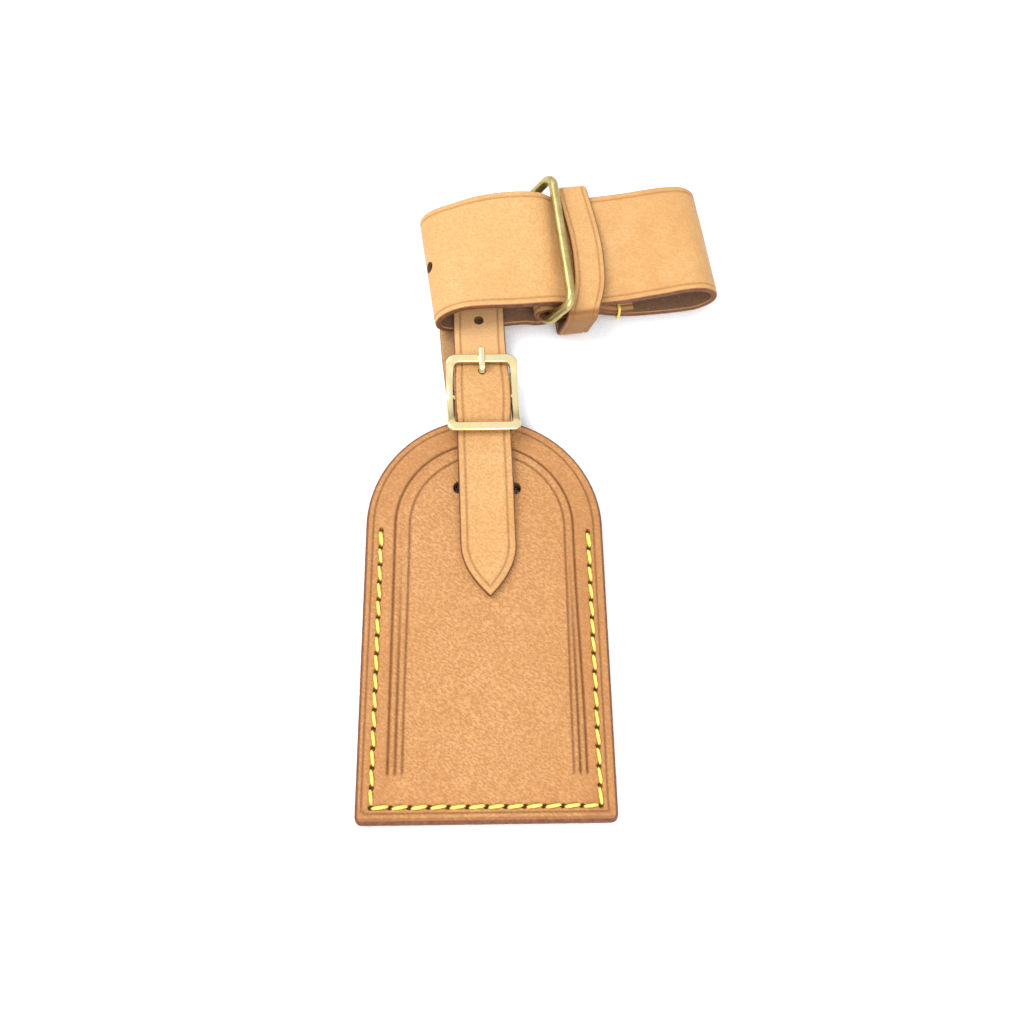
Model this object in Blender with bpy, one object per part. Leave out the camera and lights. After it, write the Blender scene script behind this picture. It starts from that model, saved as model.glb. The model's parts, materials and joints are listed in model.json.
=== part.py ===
"""Leather luggage tag: a stitched two-panel tag, a narrow strap with a centre-bar buckle through
its slot, and a wide handle band with a ring and a keeper. Metres, +Z up, lying on its back."""

import math

import bpy
import numpy as np
from mathutils import Matrix, Vector

MM = 0.001

# ---- tag (millimetres from here on; lengths run along the tag, bottom edge at y = 0) ----
TAG_W = 65.0
TAG_H = 110.6
CORNER_R = 1.7
TAG_FLARE = 0.55  # how much wider each side is at the bottom corners
BACK_T = 1.6
PANEL_GAP = 0.3
FRONT_T = 1.9
POCKET_DEPTH = 0.6
POCKET_HALF = 25.0
POCKET_BOTTOM = 6.2
TAG_T = BACK_T + PANEL_GAP + FRONT_T
EDGE_ROUND = 0.45
CREASE_INSET = 2.4
CREASE_DEPTH = 0.22
TAG_TILT = math.atan(1.8 / 86.0)  # the strap's rear leg holds the top of the tag up
SLOT_Y = 89.3
SLOT_X = 0.6
SLOT_HALF = 7.7
SLOT_TALL = 3.2
CARD_W, CARD_H, CARD_T, CARD_Y = 48.0, 76.0, 0.4, 7.6

# ---- saddle stitching of the tag ----
SEAM_LEFT = (-29.1, -28.3)  # x of the left row of stitches at its bottom and its top
SEAM_RIGHT = (28.7, 28.4)
SEAM_Y = 3.7
SEAM_SIDE = 15
SEAM_BOTTOM = 12
SEAM_PITCH = 4.86
SEAM_THREAD_R = 0.36
SEAM_SLANT = 0.47
SEAM_HOLE = (1.26, 0.76)
SEAM_CLEAR = 0.1
SEAM_CHANNEL = 1.02

# ---- narrow strap ----
STRAP_W = 15.2
STRAP_T = 1.5
STRAP_FOLD_T = 1.1
STRAP_LEAN = math.radians(1.75)
STRAP_PIVOT = (0.25, SLOT_Y)
STRAP_FLOOR = 0.2
TIP_Y = 57.7
TIP_LENGTH = 14.5
HOLE_D = 2.9
HOLE_YS = (142.9, 162.4)
PRONG_HOLE = (122.8, 2.4, 3.7)
REAR_BEND = (181.2, 3.8)

# ---- centre-bar buckle ----
BUCKLE_Y = 116.4
BUCKLE_W = 20.5
BUCKLE_L = 24.1
BUCKLE_BAR_W = 2.6
BUCKLE_SIDE_W = 2.1
BUCKLE_BAR_T = 1.6
BUCKLE_OUTER_R = (2.9, 1.7)  # at the prong's end and at the tip's end
BUCKLE_INNER_R = (1.6, 0.6)
BUCKLE_END_Z = 10.75
BUCKLE_BAR_Z = 7.5
BUCKLE_PIN_R = 0.9
PRONG_R = 0.92

# ---- wide handle band; u runs along it and v across it ----
BAND_ANGLE = math.radians(8.0)
BAND_NEAR = 140.8
BAND_W = 36.5
BAND_T = 1.8
BAND_FOLD_T = 1.5
BAND_HOLE_D = 3.5
BAND_SEAM_U = 61.4

# ---- ring and keeper ----
RING_R = 1.45
RING_LONG = 44.9
RING_CORNER = 3.4
RING_REAR = (39.1, 6.2)
RING_FRONT = (45.7, 17.0)
RING_V = BAND_NEAR + BAND_W / 2 + 1.45
RING_YAW = math.radians(2.3)  # the ring and the fold round it lie a little askew to the band
FOLD_SKEW = math.tan(RING_YAW) * BAND_W / 2
KEEPER_W = 9.4
KEEPER_T = 1.3
# Corners of the keeper's inner face as (u, v, z, rounding), from the bottom's near corner round to the top's.
KEEPER_CORNERS = (
    (46.7, 137.6, 1.5, 1.2),
    (49.2, 180.4, 1.5, 1.2),
    (52.4, 180.2, 13.3, 1.8),
    (53.7, 160.0, 13.2, 7.0),
    (52.2, 145.0, 12.5, 5.0),
    (48.2, 136.1, 11.9, 2.4),
)

U = np.array([math.cos(BAND_ANGLE), math.sin(BAND_ANGLE), 0.0])
V = np.array([-math.sin(BAND_ANGLE), math.cos(BAND_ANGLE), 0.0])
Z = np.array([0.0, 0.0, 1.0])


def clear_scene():
    for obj in list(bpy.data.objects):
        bpy.data.objects.remove(obj, do_unlink=True)


def material(name, colour, rough, metal=0.0):
    mat = bpy.data.materials.new(name)
    mat.use_nodes = True
    shader = mat.node_tree.nodes["Principled BSDF"]
    shader.inputs["Base Color"].default_value = (*colour, 1.0)
    shader.inputs["Roughness"].default_value = rough
    shader.inputs["Metallic"].default_value = metal
    return mat


# ---- frames ----
def tag_point(x, y, n):
    """A point of the tag: x across, y up its back face, n out of the back face."""
    s, c = math.sin(TAG_TILT), math.cos(TAG_TILT)
    return np.array([x, y * c - n * s, y * s + n * c])


def strap_point(x, y, z):
    """A point in the strap's frame, which leans about the slot."""
    px, py = STRAP_PIVOT
    s, c = math.sin(STRAP_LEAN), math.cos(STRAP_LEAN)
    dy = y - py
    return np.array([px + x * c - dy * s, py + x * s + dy * c, z])


def band_point(u, v, z):
    return u * U + v * V + z * Z


def tag_top(y):
    return tag_point(0, y, TAG_T)[2]


# ---- meshes ----
def signed_volume(verts, faces):
    total = 0.0
    for face in faces:
        a = verts[face[0]]
        for i in range(1, len(face) - 1):
            total += np.dot(a, np.cross(verts[face[i]], verts[face[i + 1]]))
    return total


def make(name, verts, faces, smooth=None):
    verts = np.asarray(verts, float)
    if signed_volume(verts, faces) < 0:
        faces = [tuple(reversed(f)) for f in faces]
    mesh = bpy.data.meshes.new(name)
    mesh.from_pydata([tuple(v * MM) for v in verts], [], [tuple(f) for f in faces])
    mesh.update()
    obj = bpy.data.objects.new(name, mesh)
    bpy.context.scene.collection.objects.link(obj)
    if smooth is not None:
        mesh.polygons.foreach_set("use_smooth", [True] * len(mesh.polygons))
        mesh.set_sharp_from_angle(angle=math.radians(smooth))
    return obj


def loft(name, rings, closed=False, smooth=None):
    """Rings of equal length joined in order; open ends get a flat cap."""
    count, size = len(rings), len(rings[0])
    verts = [p for ring in rings for p in ring]
    faces = []
    for i in range(count if closed else count - 1):
        a, b = i * size, ((i + 1) % count) * size
        for j in range(size):
            k = (j + 1) % size
            faces.append((a + j, a + k, b + k, b + j))
    if not closed:
        faces.append(tuple(reversed(range(size))))
        faces.append(tuple((count - 1) * size + j for j in range(size)))
    return make(name, verts, faces, smooth)


def subtract(obj, cutter):
    modifier = obj.modifiers.new("cut", "BOOLEAN")
    modifier.operation = "DIFFERENCE"
    modifier.solver = "EXACT"
    modifier.object = cutter
    settle(obj, cutter)


def unite(obj, other):
    modifier = obj.modifiers.new("join", "BOOLEAN")
    modifier.operation = "UNION"
    modifier.solver = "EXACT"
    modifier.object = other
    settle(obj, other)


def settle(obj, other):
    bpy.context.view_layer.update()
    graph = bpy.context.evaluated_depsgraph_get()
    mesh = bpy.data.meshes.new_from_object(obj.evaluated_get(graph))
    obj.modifiers.clear()
    obj.data = mesh
    bpy.data.objects.remove(other, do_unlink=True)


def prism(name, outline, lift, low, high):
    """A vertical prism over an outline of (a, b), placed by lift(a, b, n)."""
    return loft(name, [[lift(a, b, low) for a, b in outline], [lift(a, b, high) for a, b in outline]])


def ellipse(cx, cy, ax, ay, turn=0.0, count=10):
    out = []
    for i in range(count):
        t = 2 * math.pi * (i + 0.5) / count
        x, y = ax * math.cos(t), ay * math.sin(t)
        out.append((cx + x * math.cos(turn) - y * math.sin(turn), cy + x * math.sin(turn) + y * math.cos(turn)))
    return out


def spline(points, cuts):
    """Catmull-Rom through the points; cuts is the number of pieces of each span."""
    pts = np.asarray(points, float)
    pts = np.vstack([2 * pts[0] - pts[1], pts, 2 * pts[-1] - pts[-2]])
    spans = len(pts) - 3
    cuts = [cuts] * spans if isinstance(cuts, int) else cuts
    out = []
    for i in range(spans):
        p0, p1, p2, p3 = pts[i : i + 4]
        d1, d2, d3 = (max(np.linalg.norm(b - a) ** 0.5, 1e-6) for a, b in ((p0, p1), (p1, p2), (p2, p3)))
        m1 = (p1 - p0) / d1 - (p2 - p0) / (d1 + d2) + (p2 - p1) / d2
        m2 = (p2 - p1) / d2 - (p3 - p1) / (d2 + d3) + (p3 - p2) / d3
        m1, m2 = m1 * d2, m2 * d2
        for k in range(cuts[i]):
            t = k / cuts[i]
            t2, t3 = t * t, t * t * t
            out.append(
                (2 * t3 - 3 * t2 + 1) * p1 + (t3 - 2 * t2 + t) * m1 + (-2 * t3 + 3 * t2) * p2 + (t3 - t2) * m2
            )
    out.append(pts[-2])
    return np.array(out)


def normals_2d(path):
    tangent = np.gradient(path, axis=0)
    tangent /= np.linalg.norm(tangent, axis=1)[:, None]
    return np.stack([-tangent[:, 1], tangent[:, 0]], axis=1)


def tube(name, path, radius, sides, smooth=50, closed=False, ends=None):
    """A round rod along a 3-D path, with parallel-transported rings."""
    path = np.asarray(path, float)
    if closed:
        tangent = np.roll(path, -1, axis=0) - np.roll(path, 1, axis=0)
    else:
        tangent = np.gradient(path, axis=0)
    tangent /= np.linalg.norm(tangent, axis=1)[:, None]
    side = np.cross(tangent[0], [0.31, 0.22, 0.92])
    side /= np.linalg.norm(side)
    rings = []
    for i, point in enumerate(path):
        side = side - tangent[i] * np.dot(side, tangent[i])
        side /= np.linalg.norm(side)
        other = np.cross(tangent[i], side)
        r = radius if ends is None else radius * ends(i / (len(path) - 1))
        rings.append(
            [
                point + r * (math.cos(2 * math.pi * k / sides) * side + math.sin(2 * math.pi * k / sides) * other)
                for k in range(sides)
            ]
        )
    if closed:
        # Turn the last rings so that the rod meets its own start without a twist.
        first, last = np.array(rings[0]), np.array(rings[-1])
        shift = min(range(sides), key=lambda s: np.linalg.norm(np.roll(last, s, axis=0) - first))
        if shift:
            verts = [p for ring in rings for p in ring]
            faces = []
            count = len(rings)
            for i in range(count):
                a, b = i * sides, ((i + 1) % count) * sides
                for j in range(sides):
                    jj, k = j, (j + 1) % sides
                    if i == count - 1:
                        faces.append((a + jj, a + k, b + (k + shift) % sides, b + (jj + shift) % sides))
                    else:
                        faces.append((a + jj, a + k, b + k, b + jj))
            return make(name, verts, faces, smooth)
    return loft(name, rings, closed=closed, smooth=smooth)


# ---- tag panels ----
def tag_outline(inset, arc=28, corner=4):
    """The tag's outline moved inwards: parallel sides, small bottom corners, a half-round top."""
    half, r = TAG_W / 2 - inset, TAG_W / 2 - inset
    centre = TAG_H - TAG_W / 2
    cr = max(CORNER_R - inset, 0.35)
    pts = []
    for i in range(corner + 1):
        t = math.pi + math.pi / 2 * i / corner
        pts.append((-half - TAG_FLARE + cr + cr * math.cos(t), inset + cr + cr * math.sin(t)))
    for i in range(corner + 1):
        t = 1.5 * math.pi + math.pi / 2 * i / corner
        pts.append((half + TAG_FLARE - cr + cr * math.cos(t), inset + cr + cr * math.sin(t)))
    for i in range(arc + 1):
        t = math.pi * i / arc
        pts.append((r * math.cos(t), centre + r * math.sin(t)))
    return pts


def panel(name, profile):
    """A panel whose edge follows (inset, height) pairs from its back to its front."""
    return loft(name, [[tag_point(x, y, n) for x, y in tag_outline(inset)] for inset, n in profile], smooth=35)


def seam_holes():
    """(x, y, path direction) of every stitch hole, down the left side, along the bottom, up the right."""
    (left, left_top), (right, right_top) = SEAM_LEFT, SEAM_RIGHT
    pts = []
    for i in range(SEAM_SIDE, 0, -1):
        pts.append((left + (left_top - left) * i / SEAM_SIDE, SEAM_Y + SEAM_PITCH * i))
    for i in range(SEAM_BOTTOM + 1):
        pts.append((left + (right - left) * i / SEAM_BOTTOM, SEAM_Y))
    for i in range(1, SEAM_SIDE + 1):
        pts.append((right + (right_top - right) * i / SEAM_SIDE, SEAM_Y + SEAM_PITCH * i))
    pts = np.array(pts)
    way = np.gradient(pts, axis=0)
    way /= np.linalg.norm(way, axis=1)[:, None]
    return pts, way


def seam_cutters(low, high):
    pts, way = seam_holes()
    cutters = []
    for i, ((x, y), (dx, dy)) in enumerate(zip(pts, way)):
        turn = math.atan2(dx, -dy)
        cutters.append(prism(f"h{i}", ellipse(x, y, *SEAM_HOLE, turn, 8), tag_point, low, high))
    return cutters


def join_objects(objs, name):
    verts, faces = [], []
    for obj in objs:
        base = len(verts)
        verts += [np.array(v.co) / MM for v in obj.data.vertices]
        faces += [tuple(base + i for i in p.vertices) for p in obj.data.polygons]
        bpy.data.objects.remove(obj, do_unlink=True)
    return make(name, verts, faces)


def slot_cutter():
    """The strap's slot with its two round ends."""
    pts = []
    r = SLOT_TALL / 2
    for side in (1, -1):
        for i in range(13):
            t = -math.pi / 2 + math.pi * i / 12
            pts.append((SLOT_X + side * (SLOT_HALF + r * math.cos(t)), SLOT_Y + side * r * math.sin(t)))
    return prism("slot", pts, tag_point, -3.0, TAG_T + 3.0)


def channel_cutter():
    """The groove in the back that takes the stitches, so that the back lies flat."""
    half = SEAM_CHANNEL
    (left, left_top), (right, right_top) = SEAM_LEFT, SEAM_RIGHT
    top = SEAM_Y + SEAM_PITCH * SEAM_SIDE + half
    outline = [
        (left - half, SEAM_Y - half),
        (right + half, SEAM_Y - half),
        (right_top + half, top),
        (right_top - half, top),
        (right - half, SEAM_Y + half),
        (left + half, SEAM_Y + half),
        (left_top + half, top),
        (left_top - half, top),
    ]
    return prism("channel", outline, tag_point, -3.0, SEAM_CHANNEL - 0.04)


def build_tag():
    c, d = CREASE_INSET, CREASE_DEPTH
    back = panel(
        "back_panel",
        [(EDGE_ROUND, 0.0), (0.12, 0.12), (0.0, EDGE_ROUND), (0.0, BACK_T - 0.1), (0.1, BACK_T)],
    )
    low = BACK_T + PANEL_GAP
    front = panel(
        "front_panel",
        [
            (0.1, low),
            (0.0, low + 0.1),
            (0.0, TAG_T - EDGE_ROUND),
            (0.12, TAG_T - 0.12),
            (EDGE_ROUND, TAG_T),
            (c - 0.3, TAG_T),
            (c, TAG_T - d),
            (c + 0.3, TAG_T),
        ],
    )
    pocket = [
        (-POCKET_HALF, POCKET_BOTTOM),
        (POCKET_HALF, POCKET_BOTTOM),
        (POCKET_HALF, TAG_H + 2),
        (-POCKET_HALF, TAG_H + 2),
    ]
    subtract(front, prism("pocket", pocket, tag_point, low - 1.0, low + POCKET_DEPTH))
    subtract(front, slot_cutter())
    subtract(back, slot_cutter())
    subtract(back, channel_cutter())
    subtract(front, join_objects(seam_cutters(low - 1.0, TAG_T + 1.0), "holes"))
    subtract(back, join_objects(seam_cutters(0.2, BACK_T + 1.0), "holes"))
    card = [
        (-CARD_W / 2, CARD_Y),
        (CARD_W / 2, CARD_Y),
        (CARD_W / 2, CARD_Y + CARD_H),
        (-CARD_W / 2, CARD_Y + CARD_H),
    ]
    card_n = BACK_T + (PANEL_GAP + POCKET_DEPTH - CARD_T) / 2
    address = prism("address_card", card, tag_point, card_n, card_n + CARD_T)
    return front, back, address


def saddle_path(holes, way, first, top, bottom, place):
    """One thread of a saddle stitch: over one interval, under the next, through every hole."""
    left = np.stack([-way[:, 1], way[:, 0]], axis=1)
    lift = SEAM_THREAD_R + SEAM_CLEAR
    path = []
    over = first == 0
    count = len(holes)
    for i in range(count - 1):
        a = holes[i] - left[i] * SEAM_SLANT
        b = holes[i + 1] + left[i + 1] * SEAM_SLANT
        if not over:
            a = holes[i] + left[i] * SEAM_SLANT
            b = holes[i + 1] - left[i + 1] * SEAM_SLANT
        level, inner = (top + lift, top - 0.5) if over else (bottom - lift, bottom + 0.5)
        knee = level - 0.14 if over else level + 0.14
        step = (b - a) / np.linalg.norm(b - a)
        if i == 0:
            path.append((*a, inner))
        path += [
            (*(a + step * 0.35), knee),
            (*(a + (b - a) * 0.5), level),
            (*(b - step * 0.35), knee),
            (*b, inner),
        ]
        if i < count - 2:
            other = bottom + 0.5 if over else top - 0.5
            path.append((*b, other))
        over = not over
    return [place(*p) for p in path]


def build_seam():
    holes, way = seam_holes()
    threads = []
    for first, name in ((0, "thread_one"), (1, "thread_two")):
        path = saddle_path(holes, way, first, TAG_T, SEAM_CHANNEL - 0.04, tag_point)
        threads.append(tube(name, path, SEAM_THREAD_R, 6))
    return threads


# ---- narrow strap ----
def strap_line():
    """(side offset, y, z) control points of the strap's middle, from its folded end to its tip."""
    by, bz = BUCKLE_Y, BUCKLE_BAR_Z
    fold = BUCKLE_PIN_R + 0.22
    under = fold + STRAP_FOLD_T / 2
    over = fold + STRAP_T / 2
    wrap = []
    for i in range(7):
        t = -math.pi / 2 + math.pi * i / 6
        r = under + (over - under) * i / 6
        wrap.append((0, by + 0.3 + r * math.cos(t), bz + r * math.sin(t)))
    leg = tag_top(97) + 0.3 + STRAP_T / 2
    bend = 1.6
    top_z = tag_top(SLOT_Y) + 0.3 + STRAP_T / 2
    low_z = STRAP_FLOOR + STRAP_T / 2
    rear_y, rear_z = REAR_BEND
    big = rear_z - low_z
    pts = [(0, by - 4.9, bz - 1.75), (0, by - 2.6, bz - 1.72)] + wrap
    pts += [(0, by - 2.4, bz + 1.35), (0, by - 5.0, bz + 0.15), (0, by - 9.0, leg + 0.35), (0, 100.5, leg + 0.05)]
    pts += [(0, SLOT_Y + bend + 2.2, top_z + 0.02)]
    for i in range(5):
        t = math.pi / 2 + math.pi / 2 * i / 4
        pts.append((0, SLOT_Y + bend + bend * math.cos(t), top_z - bend + bend * math.sin(t)))
    for i in range(5):
        t = math.pi + math.pi / 2 * i / 4
        pts.append((0, SLOT_Y + bend + bend * math.cos(t), low_z + bend + bend * math.sin(t)))
    pts += [(-0.6, 98, low_z), (-2.0, 115, low_z), (-3.6, 134, low_z), (-4.0, 150, low_z), (-2.6, 168, low_z)]
    for i in range(7):
        t = -math.pi / 2 + math.pi * i / 6
        pts.append((-0.9 + 0.5 * i / 6, rear_y + big * math.cos(t), rear_z + big * math.sin(t)))
    top = rear_z + big
    pts += [(-0.2, 172, top - 0.35), (0, 158, 5.55), (0, 144, 5.2), (0, 136, 5.6)]
    end = BUCKLE_END_Z - BUCKLE_BAR_T / 2 - 0.55 - STRAP_T / 2
    hump = bz + over + STRAP_T + 0.25
    pts += [(0, by + 10.2, end), (0, by + 5.4, hump - 0.75), (0, by + 0.3, hump), (0, by - 5.4, hump - 0.85)]
    pts += [(0, by - 10.3, end), (0, 96, tag_top(96) + 0.6 + 1.5 * STRAP_T + 0.1), (0, 88.5, tag_top(88.5) + 2.75)]
    pts += [(0, 80, tag_top(80) + 1.5), (0, 70, tag_top(70) + 1.15), (0, TIP_Y, tag_top(TIP_Y) + 1.05)]
    return pts


def build_strap():
    pts = strap_line()
    cuts = []
    for a, b in zip(pts, pts[1:]):
        span = math.dist(a[1:], b[1:])
        cuts.append(1 if span < 2.2 else 2 if span < 9 else 3 if span < 16 else 4)
    cuts[-2:] = [5, 7]
    path = spline(pts, cuts)
    normal = normals_2d(path[:, 1:])
    length = np.concatenate([[0], np.cumsum(np.linalg.norm(np.diff(path[:, 1:], axis=0), axis=1))])
    total = length[-1]
    rings = []
    for i, (x, y, z) in enumerate(path):
        to_tip = total - length[i]
        half = STRAP_W / 2
        if to_tip < TIP_LENGTH:
            half *= 1 - 0.95 * (1 - to_tip / TIP_LENGTH) ** 2
        t = STRAP_FOLD_T if length[i] < 6.0 else min(STRAP_T, STRAP_FOLD_T + (length[i] - 6.0) * 0.08)
        t /= 2
        c = min(0.28, half * 0.4)
        ny, nz = normal[i]
        ring = []
        for a, b in (
            (-half + c, t), (half - c, t), (half, t - c), (half, -t + c),
            (half - c, -t), (-half + c, -t), (-half, -t + c), (-half, t - c),
        ):  # fmt: skip
            ring.append(strap_point(x + a, y + b * ny, z + b * nz))
        rings.append(ring)
    strap = loft("strap", rings, smooth=35)
    for y in HOLE_YS:
        subtract(strap, prism("hole", ellipse(0, y, HOLE_D / 2, HOLE_D / 2, 0, 14), strap_point, 3.2, 12))
    y, wide, tall = PRONG_HOLE
    subtract(strap, prism("hole", ellipse(0, y, wide / 2, tall / 2, 0, 16), strap_point, 7.4, 14))
    by, bz = BUCKLE_Y, BUCKLE_BAR_Z
    cut = [(-1.45, by - 2.6), (1.45, by - 2.6), (1.45, by + 4.6), (-1.45, by + 4.6)]
    subtract(strap, prism("prong_gap", cut, strap_point, bz - 3.4, bz + 2.72))
    holes = [
        prism(f"s{i}", ellipse(x, y, 0.58, 0.62, 0, 8), strap_point, bz - 3.2, bz + 2.6)
        for i, (x, y) in enumerate(strap_seam_holes())
    ]
    subtract(strap, join_objects(holes, "holes"))
    return strap


def strap_seam_holes():
    return [(x, BUCKLE_Y - 3.75) for x in (-5.1, -1.7, 1.7, 5.1)]


def build_strap_thread():
    """A single thread that holds the folded end under the strap."""
    bz = BUCKLE_BAR_Z
    r, clear = 0.25, 0.1
    top, low = bz + 1.78, bz - 2.55
    y = BUCKLE_Y - 3.75
    xs = [x for x, _ in strap_seam_holes()]
    path = []
    over = True
    for i, (a, b) in enumerate(zip(xs, xs[1:])):
        level, inner = (top + clear, top - 1.0) if over else (low - clear, low + 0.9)
        if i == 0:
            path.append((a, y, inner))
        path += [(a + 0.3, y, level), ((a + b) / 2, y, level), (b - 0.3, y, level), (b, y, inner)]
        if i < len(xs) - 2:
            path.append((b, y, low + 0.9 if over else top - 1.0))
        over = not over
    return tube("strap_thread", [strap_point(*p) for p in path], r, 6)


# ---- buckle ----
def frame_outline(half_w, half_l, radii):
    """A rounded rectangle with one radius at its two upper corners and another at its lower ones."""
    top, low = radii
    pts = []
    for cx, cy, r, start, along, pieces in (
        (half_w - top, half_l - top, top, 0.0, (-1, 0), 4),
        (-half_w + top, half_l - top, top, 0.5, (0, -1), 10),
        (-half_w + low, -half_l + low, low, 1.0, (1, 0), 4),
        (half_w - low, -half_l + low, low, 1.5, (0, 1), 10),
    ):
        for i in range(6):
            t = math.pi * (start + 0.5 * i / 5)
            pts.append((cx + r * math.cos(t), cy + r * math.sin(t)))
        far = 2 * (half_w - r) if along[0] else 2 * half_l - top - low
        x, y = pts[-1]
        pts += [(x + along[0] * far * k / pieces, y + along[1] * far * k / pieces) for k in range(1, pieces)]
    return np.array(pts)


def build_buckle():
    half_w, half_l = BUCKLE_W / 2, BUCKLE_L / 2
    drop = BUCKLE_END_Z - BUCKLE_BAR_Z
    outer = frame_outline(half_w, half_l, BUCKLE_OUTER_R)
    inner = frame_outline(half_w - BUCKLE_SIDE_W, half_l - BUCKLE_BAR_W, BUCKLE_INNER_R)
    t, c = BUCKLE_BAR_T / 2, 0.42
    rings = []
    for a, b in zip(outer, inner):
        ring = []
        cut = c / np.linalg.norm(b - a)
        for share, up in (
            (1 - cut, t), (cut, t), (0, t - c), (0, -t + c), (cut, -t), (1 - cut, -t), (1, -t + c), (1, t - c),
        ):  # fmt: skip
            x, y = a + (b - a) * share
            near = min(1.0, abs(y) / (half_l - BUCKLE_BAR_W / 2 - 1.2))
            z = BUCKLE_END_Z - drop * (1 - near**2) ** 1.25
            ring.append(strap_point(x, BUCKLE_Y + y, z + up))
        rings.append(ring)
    frame = loft("buckle_frame", rings, closed=True, smooth=35)
    reach = half_w - BUCKLE_SIDE_W / 2
    bar = tube(
        "bar",
        [strap_point(x, BUCKLE_Y, BUCKLE_BAR_Z) for x in (-reach, -3, 3, reach)],
        BUCKLE_PIN_R,
        14,
    )
    unite(frame, bar)
    return frame


def build_prong():
    by, bz = BUCKLE_Y, BUCKLE_BAR_Z
    top = BUCKLE_END_Z + BUCKLE_BAR_T / 2 + 0.15 + PRONG_R
    loop = BUCKLE_PIN_R + 0.2 + PRONG_R * 0.72
    pts = []
    for i in range(11):
        t = math.radians(18 + 312 * (1 - i / 10))
        pts.append((by + loop * math.cos(t), bz + loop * math.sin(t)))
    pts = pts[:-1]
    pts += [
        (by + 2.6, bz + 0.55), (by + 4.4, bz + 0.75), (by + 5.65, bz + 1.6), (by + 6.5, bz + 3.2),
        (by + 7.5, top - 0.55), (by + 9.0, top), (by + 11.0, top + 0.05), (by + 13.5, top + 0.02),
    ]  # fmt: skip
    path = spline(pts, [1] * 9 + [1, 1, 2, 2, 2, 2, 1, 2])
    flat = 0.72
    normal = normals_2d(path)
    rings = []
    for i, (y, z) in enumerate(path):
        ny, nz = normal[i]
        wide = 1.0
        if i > len(path) - 3:
            wide = 0.9 if i == len(path) - 2 else 0.7
        ring = []
        for k in range(8):
            a = 2 * math.pi * (k + 0.5) / 8
            dx, dn = PRONG_R * wide * math.cos(a), PRONG_R * flat * wide * math.sin(a)
            ring.append(strap_point(dx, y + dn * ny, z + dn * nz))
        rings.append(ring)
    return loft("buckle_prong", rings, smooth=60)


# ---- wide band ----
def fold_arc():
    """The folded end's middle line round the ring's rear bar, top to bottom."""
    u0, z0 = RING_REAR
    r = RING_R + 0.25 + BAND_FOLD_T / 2
    return [(u0 + r * math.cos(t), z0 + r * math.sin(t)) for t in (math.radians(a) for a in (90, 120, 150, 180, 210, 240, 270))]


def band_lines():
    """(u, z) control points of the near and far edges' middle lines, from the folded end to the tail."""
    flap = [(66.0, 4.05), (62.6, 4.1), (58.2, 5.2), (54.0, 6.75), (45.6, 6.8), (42.4, 7.75)]
    main = [(41.2, 4.35), (43.4, 4.85), (54.0, 4.85), (58.2, 3.3), (62.6, 2.15), (67.0, 1.4), (72.0, 1.15), (81.0, 1.15)]
    tail = [(13.0, 2.95), (22.0, 2.9), (32.0, 2.9), (36.3, 1.75), (39.4, 1.75), (42.4, 2.8), (46.0, 2.85), (52.6, 2.85)]
    # The fold shifts opposite ways at the two edges; the shift fades out along the flap and the run below it.
    fold = [(u, z, min(1.0, max(0.0, (58.2 - u) / 12))) for u, z in flap + fold_arc() + main]
    near = [(u - FOLD_SKEW * share, z) for u, z, share in fold]
    far = [(u + FOLD_SKEW * share, z) for u, z, share in fold]
    near += [(87.0, 2.0), (90.6, 4.9), (90.6, 8.2), (87.0, 11.4), (81.0, 12.0), (75.0, 11.1), (69.0, 10.3)]
    far += [(87.0, 2.2), (90.8, 5.6), (90.8, 9.4), (87.0, 12.8), (81.0, 13.6), (75.0, 13.1), (69.0, 12.4)]
    near += [(62.5, 9.45), (55.0, 9.35), (47.9, 9.8), (44.8, 10.9), (41.4, 12.2), (37.0, 12.7), (32.0, 12.85)]
    far += [(62.5, 11.9), (55.0, 11.65), (48.8, 12.0), (45.4, 13.6), (41.8, 16.2), (37.6, 17.3), (33.0, 17.75)]
    near += [(26.0, 13.4), (20.5, 14.1), (15.4, 14.4), (11.2, 13.5), (8.0, 11.3), (6.35, 8.2), (6.7, 5.4), (9.0, 3.45)]
    far += [(27.0, 17.6), (21.2, 16.6), (15.4, 14.6), (11.2, 13.0), (8.0, 11.0), (6.35, 8.2), (6.7, 5.4), (9.0, 3.45)]
    return near + tail, far + tail


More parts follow.
